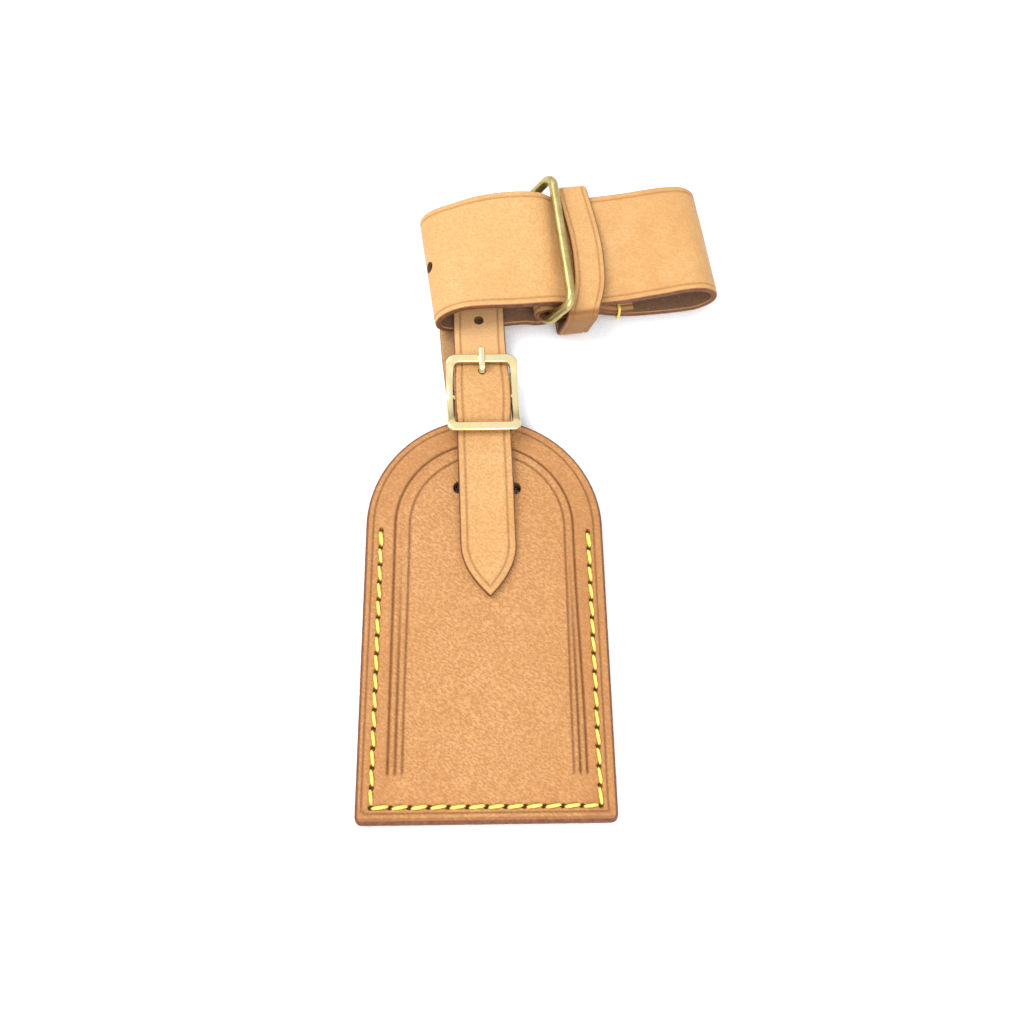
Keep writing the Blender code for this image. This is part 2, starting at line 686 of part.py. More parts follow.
def build_band():
    near, far = band_lines()
    cuts = []
    for a, b in zip(near, near[1:]):
        span = math.dist(a, b)
        cuts.append(1 if span < 1.9 else 2 if span < 6.5 else 3 if span < 9.5 else 4)
    near, far = spline(near, cuts), spline(far, cuts)
    near_n, far_n = normals_2d(near), normals_2d(far)
    length = np.concatenate([[0], np.cumsum(np.linalg.norm(np.diff(near, axis=0), axis=1))])
    lo, hi = BAND_NEAR, BAND_NEAR + BAND_W
    rings = []
    for i in range(len(near)):
        t = (BAND_FOLD_T if length[i] < 33 else min(BAND_T, BAND_FOLD_T + (length[i] - 33) * 0.06)) / 2
        c = 0.3
        ring = []
        for share, b in ((0, t), (1, t), (2, t - c), (2, -t + c), (1, -t), (0, -t), (-1, -t + c), (-1, t - c)):
            v = lo + c if share == 0 else hi - c if share == 1 else hi if share == 2 else lo
            s = (v - lo) / BAND_W
            line = near[i] * (1 - s) + far[i] * s
            n = near_n[i] * (1 - s) + far_n[i] * s
            n /= np.linalg.norm(n)
            ring.append(band_point(line[0] + b * n[0], v, line[1] + b * n[1]))
        rings.append(ring)
    band = loft("band", rings, smooth=35)
    axis = np.array([-0.88, 0.0, 0.47])
    centre = np.array([6.9, BAND_NEAR + BAND_W / 2, 9.3])

    def hole_lift(a, b, n):
        p = centre + axis * n + np.array([0.47, 0.0, 0.88]) * b
        return band_point(p[0], p[1] + a, p[2])

    subtract(band, prism("hole", ellipse(0, 0, BAND_HOLE_D / 2, BAND_HOLE_D / 2, 0, 16), hole_lift, -4.5, 6.0))
    holes = [
        prism(f"b{i}", ellipse(BAND_SEAM_U, v, 0.66, 0.7, 0, 8), lambda a, b, n: band_point(a, b, n), -1.0, 6.4)
        for i, v in enumerate(band_seam_holes())
    ]
    subtract(band, join_objects(holes, "holes"))
    return band


def band_seam_holes():
    first, pitch = BAND_NEAR + 2.6, 4.45
    return [first + pitch * i for i in range(8)]


def build_band_thread():
    """The thread across the folded end; it wraps the near edge once before it runs across."""
    u = BAND_SEAM_U
    r, clear = 0.34, 0.14
    top, low = 4.42 + BAND_FOLD_T / 2 + r + clear, 2.4 - BAND_T / 2 - r - clear
    vs = band_seam_holes()
    edge = BAND_NEAR - r - clear - 0.15
    path = [(u, vs[0], low + 1.2), (u, vs[0] - 0.3, low), (u, edge + 0.6, low), (u, edge, (top + low) / 2)]
    path += [(u, edge + 0.6, top), (u, vs[0] + 0.3, top), (u, (vs[0] + vs[1]) / 2, top), (u, vs[1] - 0.3, top)]
    path += [(u, vs[1], top - 1.0), (u, vs[1], low + 1.0)]
    over = False
    for i in range(1, len(vs) - 1):
        a, b = vs[i], vs[i + 1]
        level = top if over else low
        path += [(u, a + 0.3, level), (u, (a + b) / 2, level), (u, b - 0.3, level)]
        path.append((u, b, level + (-1.0 if over else 1.0)))
        if i < len(vs) - 2:
            path.append((u, b, (low + 1.0) if over else (top - 1.0)))
        over = not over
    return tube("band_thread", [band_point(*p) for p in path], r, 6)


# ---- ring and keeper ----
def ring_axes():
    """The ring's rear point and its long and short directions."""
    (u0, z0), (u1, z1) = RING_REAR, RING_FRONT
    long = math.cos(RING_YAW) * V + math.sin(RING_YAW) * U
    short = (u1 - u0) * U + (z1 - z0) * Z
    reach = np.linalg.norm(short)
    short = short - long * np.dot(short, long)
    return band_point(u0, RING_V, z0), long, short / np.linalg.norm(short), reach


def build_ring():
    rear, long, short, reach = ring_axes()
    half, r = RING_LONG / 2, RING_CORNER
    loop = []
    for cv, cs, start in (
        (half - r, reach - r, 0.0), (-half + r, reach - r, 0.5), (-half + r, r, 1.0), (half - r, r, 1.5),
    ):  # fmt: skip
        for i in range(8):
            t = math.pi * (start + 0.5 * i / 7)
            loop.append((cv + r * math.cos(t), cs + r * math.sin(t)))
        if start in (0.0, 1.0):
            for k in (1, 2, 3):
                sign = -1 if start == 0.0 else 1
                loop.append((cv + sign * 2 * (half - r) * k / 4, cs + (r if start == 0.0 else -r)))
    path = [rear + v * long + s * short for v, s in loop]
    return tube("ring", path, RING_R, 12, smooth=60, closed=True)


def keeper_loop(per_corner, per_side):
    """(u, v, z) points round the keeper's inner face."""
    loop = []
    count = len(KEEPER_CORNERS)
    for i in range(count):
        before, here, after = (np.array(KEEPER_CORNERS[j % count]) for j in (i - 1, i, i + 1))
        p, a, b = here[:3], before[:3], after[:3]
        start = p + (a - p) / np.linalg.norm(a - p) * here[3]
        end = p + (b - p) / np.linalg.norm(b - p) * here[3]
        for k in range(per_corner + 1):
            t = k / per_corner
            loop.append(start * (1 - t) ** 2 + 2 * p * t * (1 - t) + end * t**2)
        next_start = b + (p - b) / np.linalg.norm(p - b) * after[3]
        loop += [end + (next_start - end) * k / per_side for k in range(1, per_side)]
    return np.array(loop)


def build_keeper():
    loop = keeper_loop(5, 3)
    way = np.roll(loop[:, 1:], -1, axis=0) - np.roll(loop[:, 1:], 1, axis=0)
    way /= np.linalg.norm(way, axis=1)[:, None]
    out = np.stack([way[:, 1], -way[:, 0]], axis=1)
    half, c = KEEPER_W / 2, 0.22
    rings = []
    for (u, v, z), (ov, oz) in zip(loop, out):
        ring = []
        for a, b in (
            (-half + c, KEEPER_T), (half - c, KEEPER_T), (half, KEEPER_T - c), (half, c),
            (half - c, 0.0), (-half + c, 0.0), (-half, c), (-half, KEEPER_T - c),
        ):  # fmt: skip
            ring.append(band_point(u + a, v + ov * b, z + oz * b))
        rings.append(ring)
    return loft("keeper", rings, closed=True, smooth=35)


def place_all(pieces):
    """Moves the parts so that the origin is under the middle, and each object's own origin to its pivot."""
    verts = np.concatenate([[np.array(v.co) for v in obj.data.vertices] for obj, _, _ in pieces])
    low, high = verts.min(axis=0), verts.max(axis=0)
    shift = np.array([(low[0] + high[0]) / 2, (low[1] + high[1]) / 2, low[2]])
    for obj, pivot, mat in pieces:
        pivot = np.asarray(pivot, float) * MM
        obj.data.transform(Matrix.Translation(Vector(-pivot)))
        obj.location = Vector(pivot - shift)
        obj.data.materials.clear()
        obj.data.materials.append(mat)
    print("origin offset mm", np.round(shift / MM, 4).tolist())
    print("size mm", np.round((high - low) / MM, 3).tolist())
    for obj, pivot, _ in pieces:
        print(obj.name, "pivot m", [round(float(v), 6) for v in obj.location])


def main():
    clear_scene()
    tan = material("leather_tag", (0.62, 0.33, 0.14), 0.55)
    peach = material("leather_band", (0.78, 0.5, 0.24), 0.55)
    narrow = material("leather_strap", (0.72, 0.42, 0.18), 0.55)
    paper = material("card_paper", (0.85, 0.84, 0.8), 0.8)
    yellow = material("waxed_thread", (0.78, 0.66, 0.08), 0.6)
    gold = material("pale_brass", (0.86, 0.72, 0.36), 0.28, 1.0)
    old = material("antique_brass", (0.42, 0.34, 0.15), 0.42, 1.0)
    front, back, card = build_tag()
    one, two = build_seam()
    slot = tag_point(0, SLOT_Y, TAG_T / 2)
    bar = strap_point(0, BUCKLE_Y, BUCKLE_BAR_Z)
    rear = ring_axes()[0]
    keeper_at = band_point(51.8, BAND_NEAR + BAND_W / 2, 0.2)
    band_at = band_point(21.0, BAND_NEAR + BAND_W / 2, 2.9)
    pieces = [
        (front, (0, 0, 0), tan),
        (back, (0, 0, 0), tan),
        (card, tag_point(0, CARD_Y, BACK_T), paper),
        (one, (0, 0, 0), yellow),
        (two, (0, 0, 0), yellow),
        (build_strap(), slot, narrow),
        (build_strap_thread(), slot, yellow),
        (build_buckle(), bar, gold),
        (build_prong(), bar, gold),
        (build_band(), band_at, peach),
        (build_band_thread(), band_at, yellow),
        (build_ring(), rear, old),
        (build_keeper(), keeper_at, peach),
    ]
    place_all(pieces)


main()
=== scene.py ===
"""The looks of the leather luggage tag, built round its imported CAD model.

Lengths are millimetres in the tag's own frame: the bottom edge's middle at the origin, y up the tag
and z off the table. make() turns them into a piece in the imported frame.
"""

import json
import math

import bmesh
import bpy
import numpy as np
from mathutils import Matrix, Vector
from mathutils.kdtree import KDTree


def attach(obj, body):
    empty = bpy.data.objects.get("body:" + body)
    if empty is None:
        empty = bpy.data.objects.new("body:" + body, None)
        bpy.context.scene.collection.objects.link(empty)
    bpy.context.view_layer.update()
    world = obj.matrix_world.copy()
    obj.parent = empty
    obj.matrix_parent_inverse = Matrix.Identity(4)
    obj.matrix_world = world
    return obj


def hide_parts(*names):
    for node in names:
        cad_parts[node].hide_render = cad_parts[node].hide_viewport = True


MM = 0.001
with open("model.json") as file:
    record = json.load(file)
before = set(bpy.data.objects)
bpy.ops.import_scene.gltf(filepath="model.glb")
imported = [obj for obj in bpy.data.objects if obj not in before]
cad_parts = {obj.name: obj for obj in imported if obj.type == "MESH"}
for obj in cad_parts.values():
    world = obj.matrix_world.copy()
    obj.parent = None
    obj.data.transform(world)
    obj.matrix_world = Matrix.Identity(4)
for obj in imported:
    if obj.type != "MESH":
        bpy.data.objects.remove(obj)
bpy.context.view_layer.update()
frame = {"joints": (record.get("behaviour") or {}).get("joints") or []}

# ---- driving sizes: the CAD model's, but for a slightly shorter prong hole and wider buckle sides ----
TAG_W, TAG_H, CORNER_R, TAG_FLARE = 65.0, 110.6, 1.7, 0.55
BACK_T, PANEL_GAP, FRONT_T, POCKET_DEPTH = 1.6, 0.3, 1.9, 0.6
FRONT_LOW = BACK_T + PANEL_GAP
TAG_T = FRONT_LOW + FRONT_T
POCKET_HALF, POCKET_BOTTOM = 25.0, 6.2
TAG_TILT = math.atan(1.8 / 86.0)
SLOT_X, SLOT_Y, SLOT_HALF, SLOT_R = 0.6, 89.3, 7.7, 1.6
CARD_W, CARD_H, CARD_T, CARD_Y = 48.0, 76.0, 0.4, 7.6
MOULD_LINES = (7.4, 9.3, 11.1)
MOULD_END_Y = 11.4
SEAM_LEFT, SEAM_RIGHT = (-29.1, -28.3), (28.7, 28.4)  # x of the side rows at their bottom and top
SEAM_Y, SEAM_SIDE, SEAM_BOTTOM, SEAM_PITCH = 3.7, 15, 12, 4.86
SEAM_FLOOR = 0.98
GAP = 0.3  # between parts that lie on each other
STRAP_W, STRAP_T, STRAP_FOLD_T = 15.2, 1.5, 1.1
STRAP_SEAM_XS, STRAP_SEAM_Y = (-5.1, -1.7, 1.7, 5.1), 112.65
STRAP_SLOT_BEND, STRAP_PIN_GAP, STRAP_PRESSED = 1.6, 0.22, 0.28
STRAP_LEAN, STRAP_PIVOT, STRAP_FLOOR = math.radians(1.75), (0.25, SLOT_Y), 0.2
TIP_Y, TIP_LENGTH = 57.7, 14.5
HOLE_D, HOLE_YS = 2.9, (142.9, 162.4)
REAR_BEND = (181.2, 3.8)
PRONG_HOLE = (123.3, 2.3, 2.9)  # y, width and length
BUCKLE_Y, BUCKLE_W, BUCKLE_L, BUCKLE_BAR_W, BUCKLE_SIDE_W = 116.4, 20.5, 24.1, 2.6, 2.25
BUCKLE_OUTER_R, BUCKLE_INNER_R = (2.9, 1.7), (1.6, 0.6)  # at the prong's end and at the tip's end
BUCKLE_BAR_T, BUCKLE_END_Z, BUCKLE_BAR_Z, BUCKLE_PIN_R = 1.6, 10.75, 7.5, 0.9
BUCKLE_EDGE_R, BUCKLE_EDGE_STEPS = 0.5, 6
PRONG_R, PRONG_FLAT = 0.92, 0.72
BAND_ANGLE, BAND_NEAR, BAND_W = math.radians(8.0), 140.8, 36.5
BAND_T, BAND_FOLD_T, BAND_HOLE_D, BAND_SEAM_U = 1.8, 1.5, 3.5, 61.4
BAND_SEAM_STITCHES, BAND_SEAM_PITCH, BAND_SEAM_START = 8, 4.45, 2.6
BAND_HOLE_AT = (6.9, 9.3)
RING_R, RING_LONG, RING_CORNER, RING_REAR, RING_FRONT = 1.45, 44.9, 3.4, (39.1, 6.2), (45.7, 17.0)
RING_V, RING_YAW = BAND_NEAR + BAND_W / 2 + 1.45, math.radians(2.3)
FOLD_SKEW = math.tan(RING_YAW) * BAND_W / 2
KEEPER_W, KEEPER_T = 9.4, 1.3
SEAM_HOLE_R = 0.5
# Each strap's creased line: its distance from the edge and its depth.
STRAP_CREASE, BAND_CREASE, KEEPER_CREASE = (2.0, 0.24), (1.9, 0.2), (1.55, 0.2)
SEAM_THREAD_R, STRAP_THREAD_R, BAND_THREAD_R = 0.29, 0.27, 0.42
THREAD_SIDES, THREAD_PLIES = 12, 3
# Corners of the keeper's inner face as (u, v, z, rounding), from the bottom's near corner to the top's.
KEEPER_CORNERS = (
    (46.7, 137.6, 1.5, 1.2),
    (49.2, 180.4, 1.5, 1.2),
    (52.4, 180.2, 13.3, 1.8),
    (53.7, 160.0, 13.2, 7.0),
    (52.2, 145.0, 12.5, 5.0),
    (48.2, 136.1, 11.9, 2.4),
)

U = np.array([math.cos(BAND_ANGLE), math.sin(BAND_ANGLE), 0.0])
V = np.array([-math.sin(BAND_ANGLE), math.cos(BAND_ANGLE), 0.0])
Z = np.array([0.0, 0.0, 1.0])


# ---- frames: each turns arrays of local coordinates into points ----
def stack(x, y, z):
    return np.stack(np.broadcast_arrays(np.asarray(x, float), y, z), axis=-1)


def tag_point(x, y, n):
    s, c = math.sin(TAG_TILT), math.cos(TAG_TILT)
    return stack(x, np.asarray(y) * c - np.asarray(n) * s, np.asarray(y) * s + np.asarray(n) * c)


def strap_point(x, y, z):
    px, py = STRAP_PIVOT
    s, c = math.sin(STRAP_LEAN), math.cos(STRAP_LEAN)
    dy = np.asarray(y) - py
    return stack(px + np.asarray(x) * c - dy * s, py + np.asarray(x) * s + dy * c, z)


def band_point(u, v, z):
    u, v, z = (np.asarray(a, float)[..., None] for a in np.broadcast_arrays(u, v, z))
    return u * U + v * V + z * Z


def tag_top(y):
    return float(tag_point(0, y, TAG_T)[2])


def find_origin():
    """The tag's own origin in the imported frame: the strap's hinge is at the middle of the slot."""
    hinge = next(j for j in frame["joints"] if j["name"] == "strap_swing")
    return np.array(hinge["pos_m"]) - tag_point(0, SLOT_Y, TAG_T / 2) * MM


ORIGIN = find_origin()


# ---- numbers ----
def ease(low, high, x):
    t = np.clip((np.asarray(x, float) - low) / (high - low), 0.0, 1.0)
    return t * t * (3 - 2 * t)


def dip(x, width):
    return np.exp(-((np.asarray(x, float) / width) ** 2))


def wobble(seed, x):
    """A smooth, repeatable wander between about -1 and 1."""
    waves = ((0.5, 1.7, 1.0), (0.3, 3.1, 2.3), (0.2, 7.3, 5.1))
    return sum(size * np.sin(rate * x + shift * seed) for size, rate, shift in waves)


def spline(points, cuts):
    """Catmull-Rom through the points; cuts is the number of pieces of each span, or a length to aim at."""
    pts = np.asarray(points, float)
    pts = np.vstack([2 * pts[0] - pts[1], pts, 2 * pts[-1] - pts[-2]])
    out = []
    for i in range(len(pts) - 3):
        p0, p1, p2, p3 = pts[i : i + 4]
        d1, d2, d3 = (max(np.linalg.norm(b - a) ** 0.5, 1e-6) for a, b in ((p0, p1), (p1, p2), (p2, p3)))
        m1 = ((p1 - p0) / d1 - (p2 - p0) / (d1 + d2) + (p2 - p1) / d2) * d2
        m2 = ((p2 - p1) / d2 - (p3 - p1) / (d2 + d3) + (p3 - p2) / d3) * d2
        n = max(1, round(d2 * d2 / cuts)) if isinstance(cuts, float) else cuts[i]
        t = (np.arange(n) / n)[:, None]
        t2, t3 = t * t, t * t * t
        start = (2 * t3 - 3 * t2 + 1) * p1 + (t3 - 2 * t2 + t) * m1
        out.append(start + (-2 * t3 + 3 * t2) * p2 + (t3 - t2) * m2)
    return np.vstack(out + [pts[-2:-1]])


def along(path):
    """How far along the path each of its points is."""
    return np.concatenate([[0], np.cumsum(np.linalg.norm(np.diff(path, axis=0), axis=1))])


def arc(centre, radius, start, stop, pieces):
    """Points (x, y) round a centre, from angle start to angle stop."""
    turns = (start + (stop - start) * i / pieces for i in range(pieces + 1))
    return [(centre[0] + radius * math.cos(t), centre[1] + radius * math.sin(t)) for t in turns]


def normals_2d(path):
    tangent = np.gradient(path, axis=0)
    tangent /= np.linalg.norm(tangent, axis=1)[:, None]
    return np.stack([-tangent[:, 1], tangent[:, 0]], axis=1)


def evenly(path, step):
    """The same path with points a fixed distance apart."""
    length = along(path)
    at = np.linspace(0, length[-1], max(2, round(length[-1] / step)))
    return np.stack([np.interp(at, length, path[:, k]) for k in range(path.shape[1])], axis=1)


# ---- meshes ----
def grid_faces(rows, columns, close_rows=False):
    """Quads between rows of points, each row closed on itself."""
    i = np.arange(rows if close_rows else rows - 1)[:, None]
    j = np.arange(columns)[None, :]
    a, b = i * columns, ((i + 1) % rows) * columns
    k = (j + 1) % columns
    return np.stack(np.broadcast_arrays(a + j, a + k, b + k, b + j), axis=-1).reshape(-1, 4).tolist()


def end_faces(rows, columns):
    """The two faces that close the first and the last row."""
    return [list(range(columns))[::-1], [(rows - 1) * columns + j for j in range(columns)]]


def make(name, verts, faces, material, marks=None, smooth=50.0):
    """A mesh object from points in the tag's frame. Its material reads the marks, a number at each point."""
    verts = np.asarray(verts, float).reshape(-1, 3) * MM + ORIGIN
    tris = np.array([(f[0], f[i], f[i + 1]) for f in faces for i in range(1, len(f) - 1)])
    corner = verts[tris] - verts.mean(axis=0)
    if np.einsum("ij,ij->i", corner[:, 0], np.cross(corner[:, 1], corner[:, 2])).sum() < 0:
        faces = [f[::-1] for f in faces]
    mesh = bpy.data.meshes.new(name)
    mesh.from_pydata(verts.tolist(), [], faces)
    for key, values in (marks or {}).items():
        layer = mesh.attributes.new(key, "FLOAT", "POINT")
        layer.data.foreach_set("value", np.ascontiguousarray(np.ravel(values), np.float32))
    mesh.materials.append(material)
    work = bmesh.new()
    work.from_mesh(mesh)
    bmesh.ops.remove_doubles(work, verts=work.verts, dist=1e-7)
    work.to_mesh(mesh)
    work.free()
    obj = bpy.data.objects.new(name, mesh)
    bpy.context.scene.collection.objects.link(obj)
    shade(obj, smooth)
    return obj


def shade(obj, angle):
    obj.data.polygons.foreach_set("use_smooth", [True] * len(obj.data.polygons))
    obj.data.set_sharp_from_angle(angle=math.radians(angle))


def settle(obj, body, node):
    """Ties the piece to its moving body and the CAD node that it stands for."""
    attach(obj, body)
    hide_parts(node)


def marks_of(mesh):
    found = {}
    for layer in mesh.attributes:
        if layer.domain == "POINT" and layer.data_type == "FLOAT":
            values = np.zeros(len(mesh.vertices), np.float32)
            layer.data.foreach_get("value", values)
            found[layer.name] = values
    return found


def boolean(obj, other, operation):
    """Joins the other object to this one, or cuts it out, and removes it."""
    modifier = obj.modifiers.new("boolean", "BOOLEAN")
    modifier.operation, modifier.solver, modifier.object = operation, "EXACT", other
    modifier.material_mode = "TRANSFER"
    bpy.context.view_layer.update()
    obj.data = bpy.data.meshes.new_from_object(obj.evaluated_get(bpy.context.evaluated_depsgraph_get()))
    obj.modifiers.clear()
    bpy.data.objects.remove(other, do_unlink=True)


def cut(obj, cutter):
    """Subtracts the cutter; the cut faces keep the cutter's material and the rest keep their marks."""
    tree = KDTree(len(obj.data.vertices))
    for i, vertex in enumerate(obj.data.vertices):
        tree.insert(vertex.co, i)
    tree.balance()
    marks = marks_of(obj.data)
    boolean(obj, cutter, "DIFFERENCE")
    mesh = obj.data
    nearest = [tree.find(vertex.co)[1] for vertex in mesh.vertices]
    for key, values in marks.items():
        layer = mesh.attributes.get(key) or mesh.attributes.new(key, "FLOAT", "POINT")
        layer.data.foreach_set("value", np.ascontiguousarray(values[nearest], np.float32))
    shade(obj, 50)


def punch(centre, axis, across, up, half_a, half_b, depth, sides=28):
    """A cutter for leather: an elliptical rod through centre along axis, depth each way."""
    t = np.arange(sides) * 2 * math.pi / sides
    ring = half_a * np.cos(t)[:, None] * across + half_b * np.sin(t)[:, None] * up
    verts = np.concatenate([centre + ring - axis * depth, centre + ring + axis * depth])
    return make("cutter", verts, grid_faces(2, sides) + end_faces(2, sides), PUNCHED)


def tube(name, path, radius, sides, material, closed=False, lobes=0, twist=0.0, flat=1.0, marks=None):
    """A rod along a path, whose radius may vary along it.

    lobes and twist lay it up like thread, and flat squeezes its height.
    """
    path = np.asarray(path, float)
    tangent = np.roll(path, -1, axis=0) - np.roll(path, 1, axis=0) if closed else np.gradient(path, axis=0)
    tangent /= np.linalg.norm(tangent, axis=1)[:, None]
    side = np.cross(tangent[0], [0.31, 0.22, 0.92])
    first = []
    for t in tangent:
        side = side - t * np.dot(side, t)
        side = side / np.linalg.norm(side)
        first.append(side)
    first = np.array(first)
    second = np.cross(tangent, first)
    turn = np.arange(sides) * 2 * math.pi / sides
    spin = np.zeros(len(path))
    if closed:
        # Spread the frame's leftover twist along the rod so that it meets its own start.
        end = first[-1] - tangent[0] * np.dot(first[-1], tangent[0])
        left = math.atan2(np.dot(end, second[0]), np.dot(end, first[0]))
        spin = -left * np.arange(len(path)) / len(path)
    angle = turn[None, :] + spin[:, None]
    size = np.broadcast_to(np.asarray(radius, float), (len(path),))[:, None] * np.ones(sides)
    lay = np.zeros_like(angle)
    if lobes:
        lay = np.cos(lobes * (angle - twist * along(path)[:, None]))
        size = size * (1 + 0.06 * lay)
    outwards = np.cos(angle)[..., None] * first[:, None] + np.sin(angle)[..., None] * second[:, None]
    ring = size[..., None] * outwards
    ring[..., 2] *= flat
    verts = (path[:, None] + ring).reshape(-1, 3)
    faces = grid_faces(len(path), sides, close_rows=closed)
    if not closed:
        faces += end_faces(len(path), sides)
    return make(name, verts, faces, material, {"lay": (0.5 + 0.5 * lay).ravel(), **(marks or {})}, smooth=70)


def thread_along(name, points, radius, **lay):
    """A laid thread along the points."""
    return tube(name, points, radius, THREAD_SIDES, THREAD, lobes=THREAD_PLIES, **lay)


# ---- materials ----
# The lights overexpose the white cloth a little, so the object's colours are laid down darker.
COLOUR_SHARE = 0.82


def linear(red, green, blue):
    """A colour given as it reads under the studio light, in sRGB."""
    plain = ((c / 12.92 if c <= 0.04045 else ((c + 0.055) / 1.055) ** 2.4) for c in (red, green, blue))
    return tuple(c * COLOUR_SHARE for c in plain) + (1.0,)


class Shader:
    """A Principled material with short calls for the nodes in front of it."""

    def __init__(self, name):
        self.material = bpy.data.materials.new(name)
        self.material.use_nodes = True
        self.tree = self.material.node_tree
        self.main = self.tree.nodes["Principled BSDF"]
        self.where = self.node("ShaderNodeTexCoord").outputs["Object"]

    def node(self, kind, **settings):
        made = self.tree.nodes.new(kind)
        for key, value in settings.items():
            setattr(made, key, value)
        return made

    def plug(self, socket, value):
        if isinstance(value, bpy.types.NodeSocket):
            self.tree.links.new(value, socket)
        else:
            socket.default_value = value

    def math(self, operation, a, b, clamp=False):
        made = self.node("ShaderNodeMath", operation=operation, use_clamp=clamp)
        self.plug(made.inputs[0], a)
        self.plug(made.inputs[1], b)
        return made.outputs[0]

    def stretch(self, scale, turn=0.0):
        """Coordinates whose pattern is drawn out by scale along axes turned by turn degrees."""
        made = self.node("ShaderNodeMapping", vector_type="TEXTURE")
        self.plug(made.inputs["Vector"], self.where)
        made.inputs["Rotation"].default_value = (0.0, 0.0, math.radians(turn))
        made.inputs["Scale"].default_value = scale
        return made.outputs[0]

    def noise(self, size, detail=3.0, rough=0.55, warp=0.0, where=None):
        """Noise whose features are about size millimetres across."""
        made = self.node("ShaderNodeTexNoise")
        self.plug(made.inputs["Vector"], where or self.where)
        settings = {"Scale": 1000.0 / size, "Detail": detail, "Roughness": rough, "Distortion": warp}
        for key, value in settings.items():
            made.inputs[key].default_value = value
        return made.outputs["Fac"]

    def cells(self, size, feature="F1", jitter=1.0, where=None):
        made = self.node("ShaderNodeTexVoronoi", feature=feature)
        self.plug(made.inputs["Vector"], where or self.where)
        made.inputs["Scale"].default_value = 1000.0 / size
        made.inputs["Randomness"].default_value = jitter
        return made.outputs["Distance"]

    def window(self, value, low, high, to_low=0.0, to_high=1.0):
        made = self.node("ShaderNodeMapRange")
        self.plug(made.inputs["Value"], value)
        for key, number in (("From Min", low), ("From Max", high), ("To Min", to_low), ("To Max", to_high)):
            made.inputs[key].default_value = number
        return made.outputs["Result"]

    def mix(self, share, a, b):
        made = self.node("ShaderNodeMix", data_type="RGBA")
        self.plug(made.inputs["Factor"], share)
        self.plug(made.inputs["A"], a)
        self.plug(made.inputs["B"], b)
        return made.outputs["Result"]

    def mark(self, name):
        return self.node("ShaderNodeAttribute", attribute_name=name).outputs["Fac"]

    def bump(self, height, depth, strength, normal=None):
        """Relief whose full height is depth millimetres."""
        made = self.node("ShaderNodeBump")
        made.inputs["Distance"].default_value = depth * MM
        made.inputs["Strength"].default_value = strength
        self.plug(made.inputs["Height"], height)
        if normal is not None:
            self.plug(made.inputs["Normal"], normal)
        return made.outputs["Normal"]

    def finish(self, **sockets):
        for name, value in sockets.items():
            self.plug(self.main.inputs[name.replace("_", " ")], value)
        return self.material


EDGE_BROWN = linear(0.36, 0.19, 0.10)
# Painted light: the paler tan laid on grain that lies in shade.
PAINTED_LIGHT_TAN = linear(1.0, 0.80, 0.57)
# Painted shade: the brown at the bottom of a stitch hole.
PIT_BROWN = linear(0.60, 0.38, 0.17)


def leather(name, tans, suede, grain, mottle):
    """Vegetable-tanned leather: its four tans, its flesh side's two, and how strong grain and mottle are.

    Its marks: wear and painted shade, painted light, groove (a creased line), edge (burnished), flesh
    and pit (painted shade in a stitch hole).
    """
    s = Shader(name)
    light, deep, dark_tan, crease = (linear(*tan) for tan in tans)
    cloud = s.window(s.noise(30, 2.0), 0.3, 0.7)
    patch = s.window(s.noise(5.5, 4.0, 0.62, 0.3), 0.3, 0.72)
    lay = s.stretch((1.0, 1.9, 1.0), 58.0)
    fine = s.window(s.noise(0.52, 2.0, 0.7, where=lay), 0.42, 0.6)
    speck = s.window(s.noise(1.5, 4.0, 0.75, 0.4, where=lay), 0.38, 0.64)
    wrinkle = s.window(s.cells(0.85, "DISTANCE_TO_EDGE", where=lay), 0.0, 0.2)
    colour = s.mix(s.math("MULTIPLY", cloud, 0.8), light, deep)
    colour = s.mix(s.math("MULTIPLY", patch, 0.6 * mottle), colour, deep)
    colour = s.mix(s.math("MULTIPLY", speck, 0.28 * mottle), colour, dark_tan)
    colour = s.mix(s.math("MULTIPLY", fine, 0.7 * mottle), colour, dark_tan)
    colour = s.mix(s.window(wrinkle, 0.0, 1.0, 0.14 * mottle, 0.0), colour, crease)
    blotch = s.window(s.noise(13, 5.0, 0.66, 0.6), 0.4, 0.7, 0.3, 1.0)
    # Wear darkens towards the dark tan, and so does painted shade where a part lies in another's shade.
    colour = s.mix(s.math("MULTIPLY", s.mark("age"), blotch, clamp=True), colour, dark_tan)
    # Painted light: a paler tan on grain that would otherwise lie in shade.
    colour = s.mix(s.mark("painted_light"), colour, PAINTED_LIGHT_TAN)
    colour = s.mix(s.mark("groove"), colour, crease)
    edge, flesh, pit = s.mark("edge"), s.mark("flesh"), s.mark("pit")
    burnish = s.mix(s.window(s.noise(1.6, 4.0, 0.7), 0.3, 0.7), EDGE_BROWN, linear(0.52, 0.31, 0.19))
    fibres = s.noise(0.7, 6.0, 0.75, 1.2)
    colour = s.mix(flesh, colour, s.mix(s.window(fibres, 0.32, 0.68), *suede))
    colour = s.mix(edge, colour, burnish)
    # Painted shade down the stitch holes.
    colour = s.mix(pit, colour, PIT_BROWN)
    relief = s.math("ADD", s.math("MULTIPLY", wrinkle, 0.45), s.math("MULTIPLY", fine, -0.5))
    height = s.node("ShaderNodeMix", data_type="FLOAT")
    s.plug(height.inputs["Factor"], flesh)
    s.plug(height.inputs["A"], relief)
    s.plug(height.inputs["B"], s.math("MULTIPLY", fibres, 1.8))
    normal = s.bump(height.outputs["Result"], 0.14, grain)
    normal = s.bump(s.noise(9, 3.0, 0.5), 0.35, 0.35, normal)
    rough = s.math("ADD", s.window(patch, 0.0, 1.0, 0.47, 0.6), s.math("MULTIPLY", flesh, 0.4), clamp=True)
    return s.finish(Base_Color=colour, Roughness=rough, Normal=normal, Specular_IOR_Level=0.3)


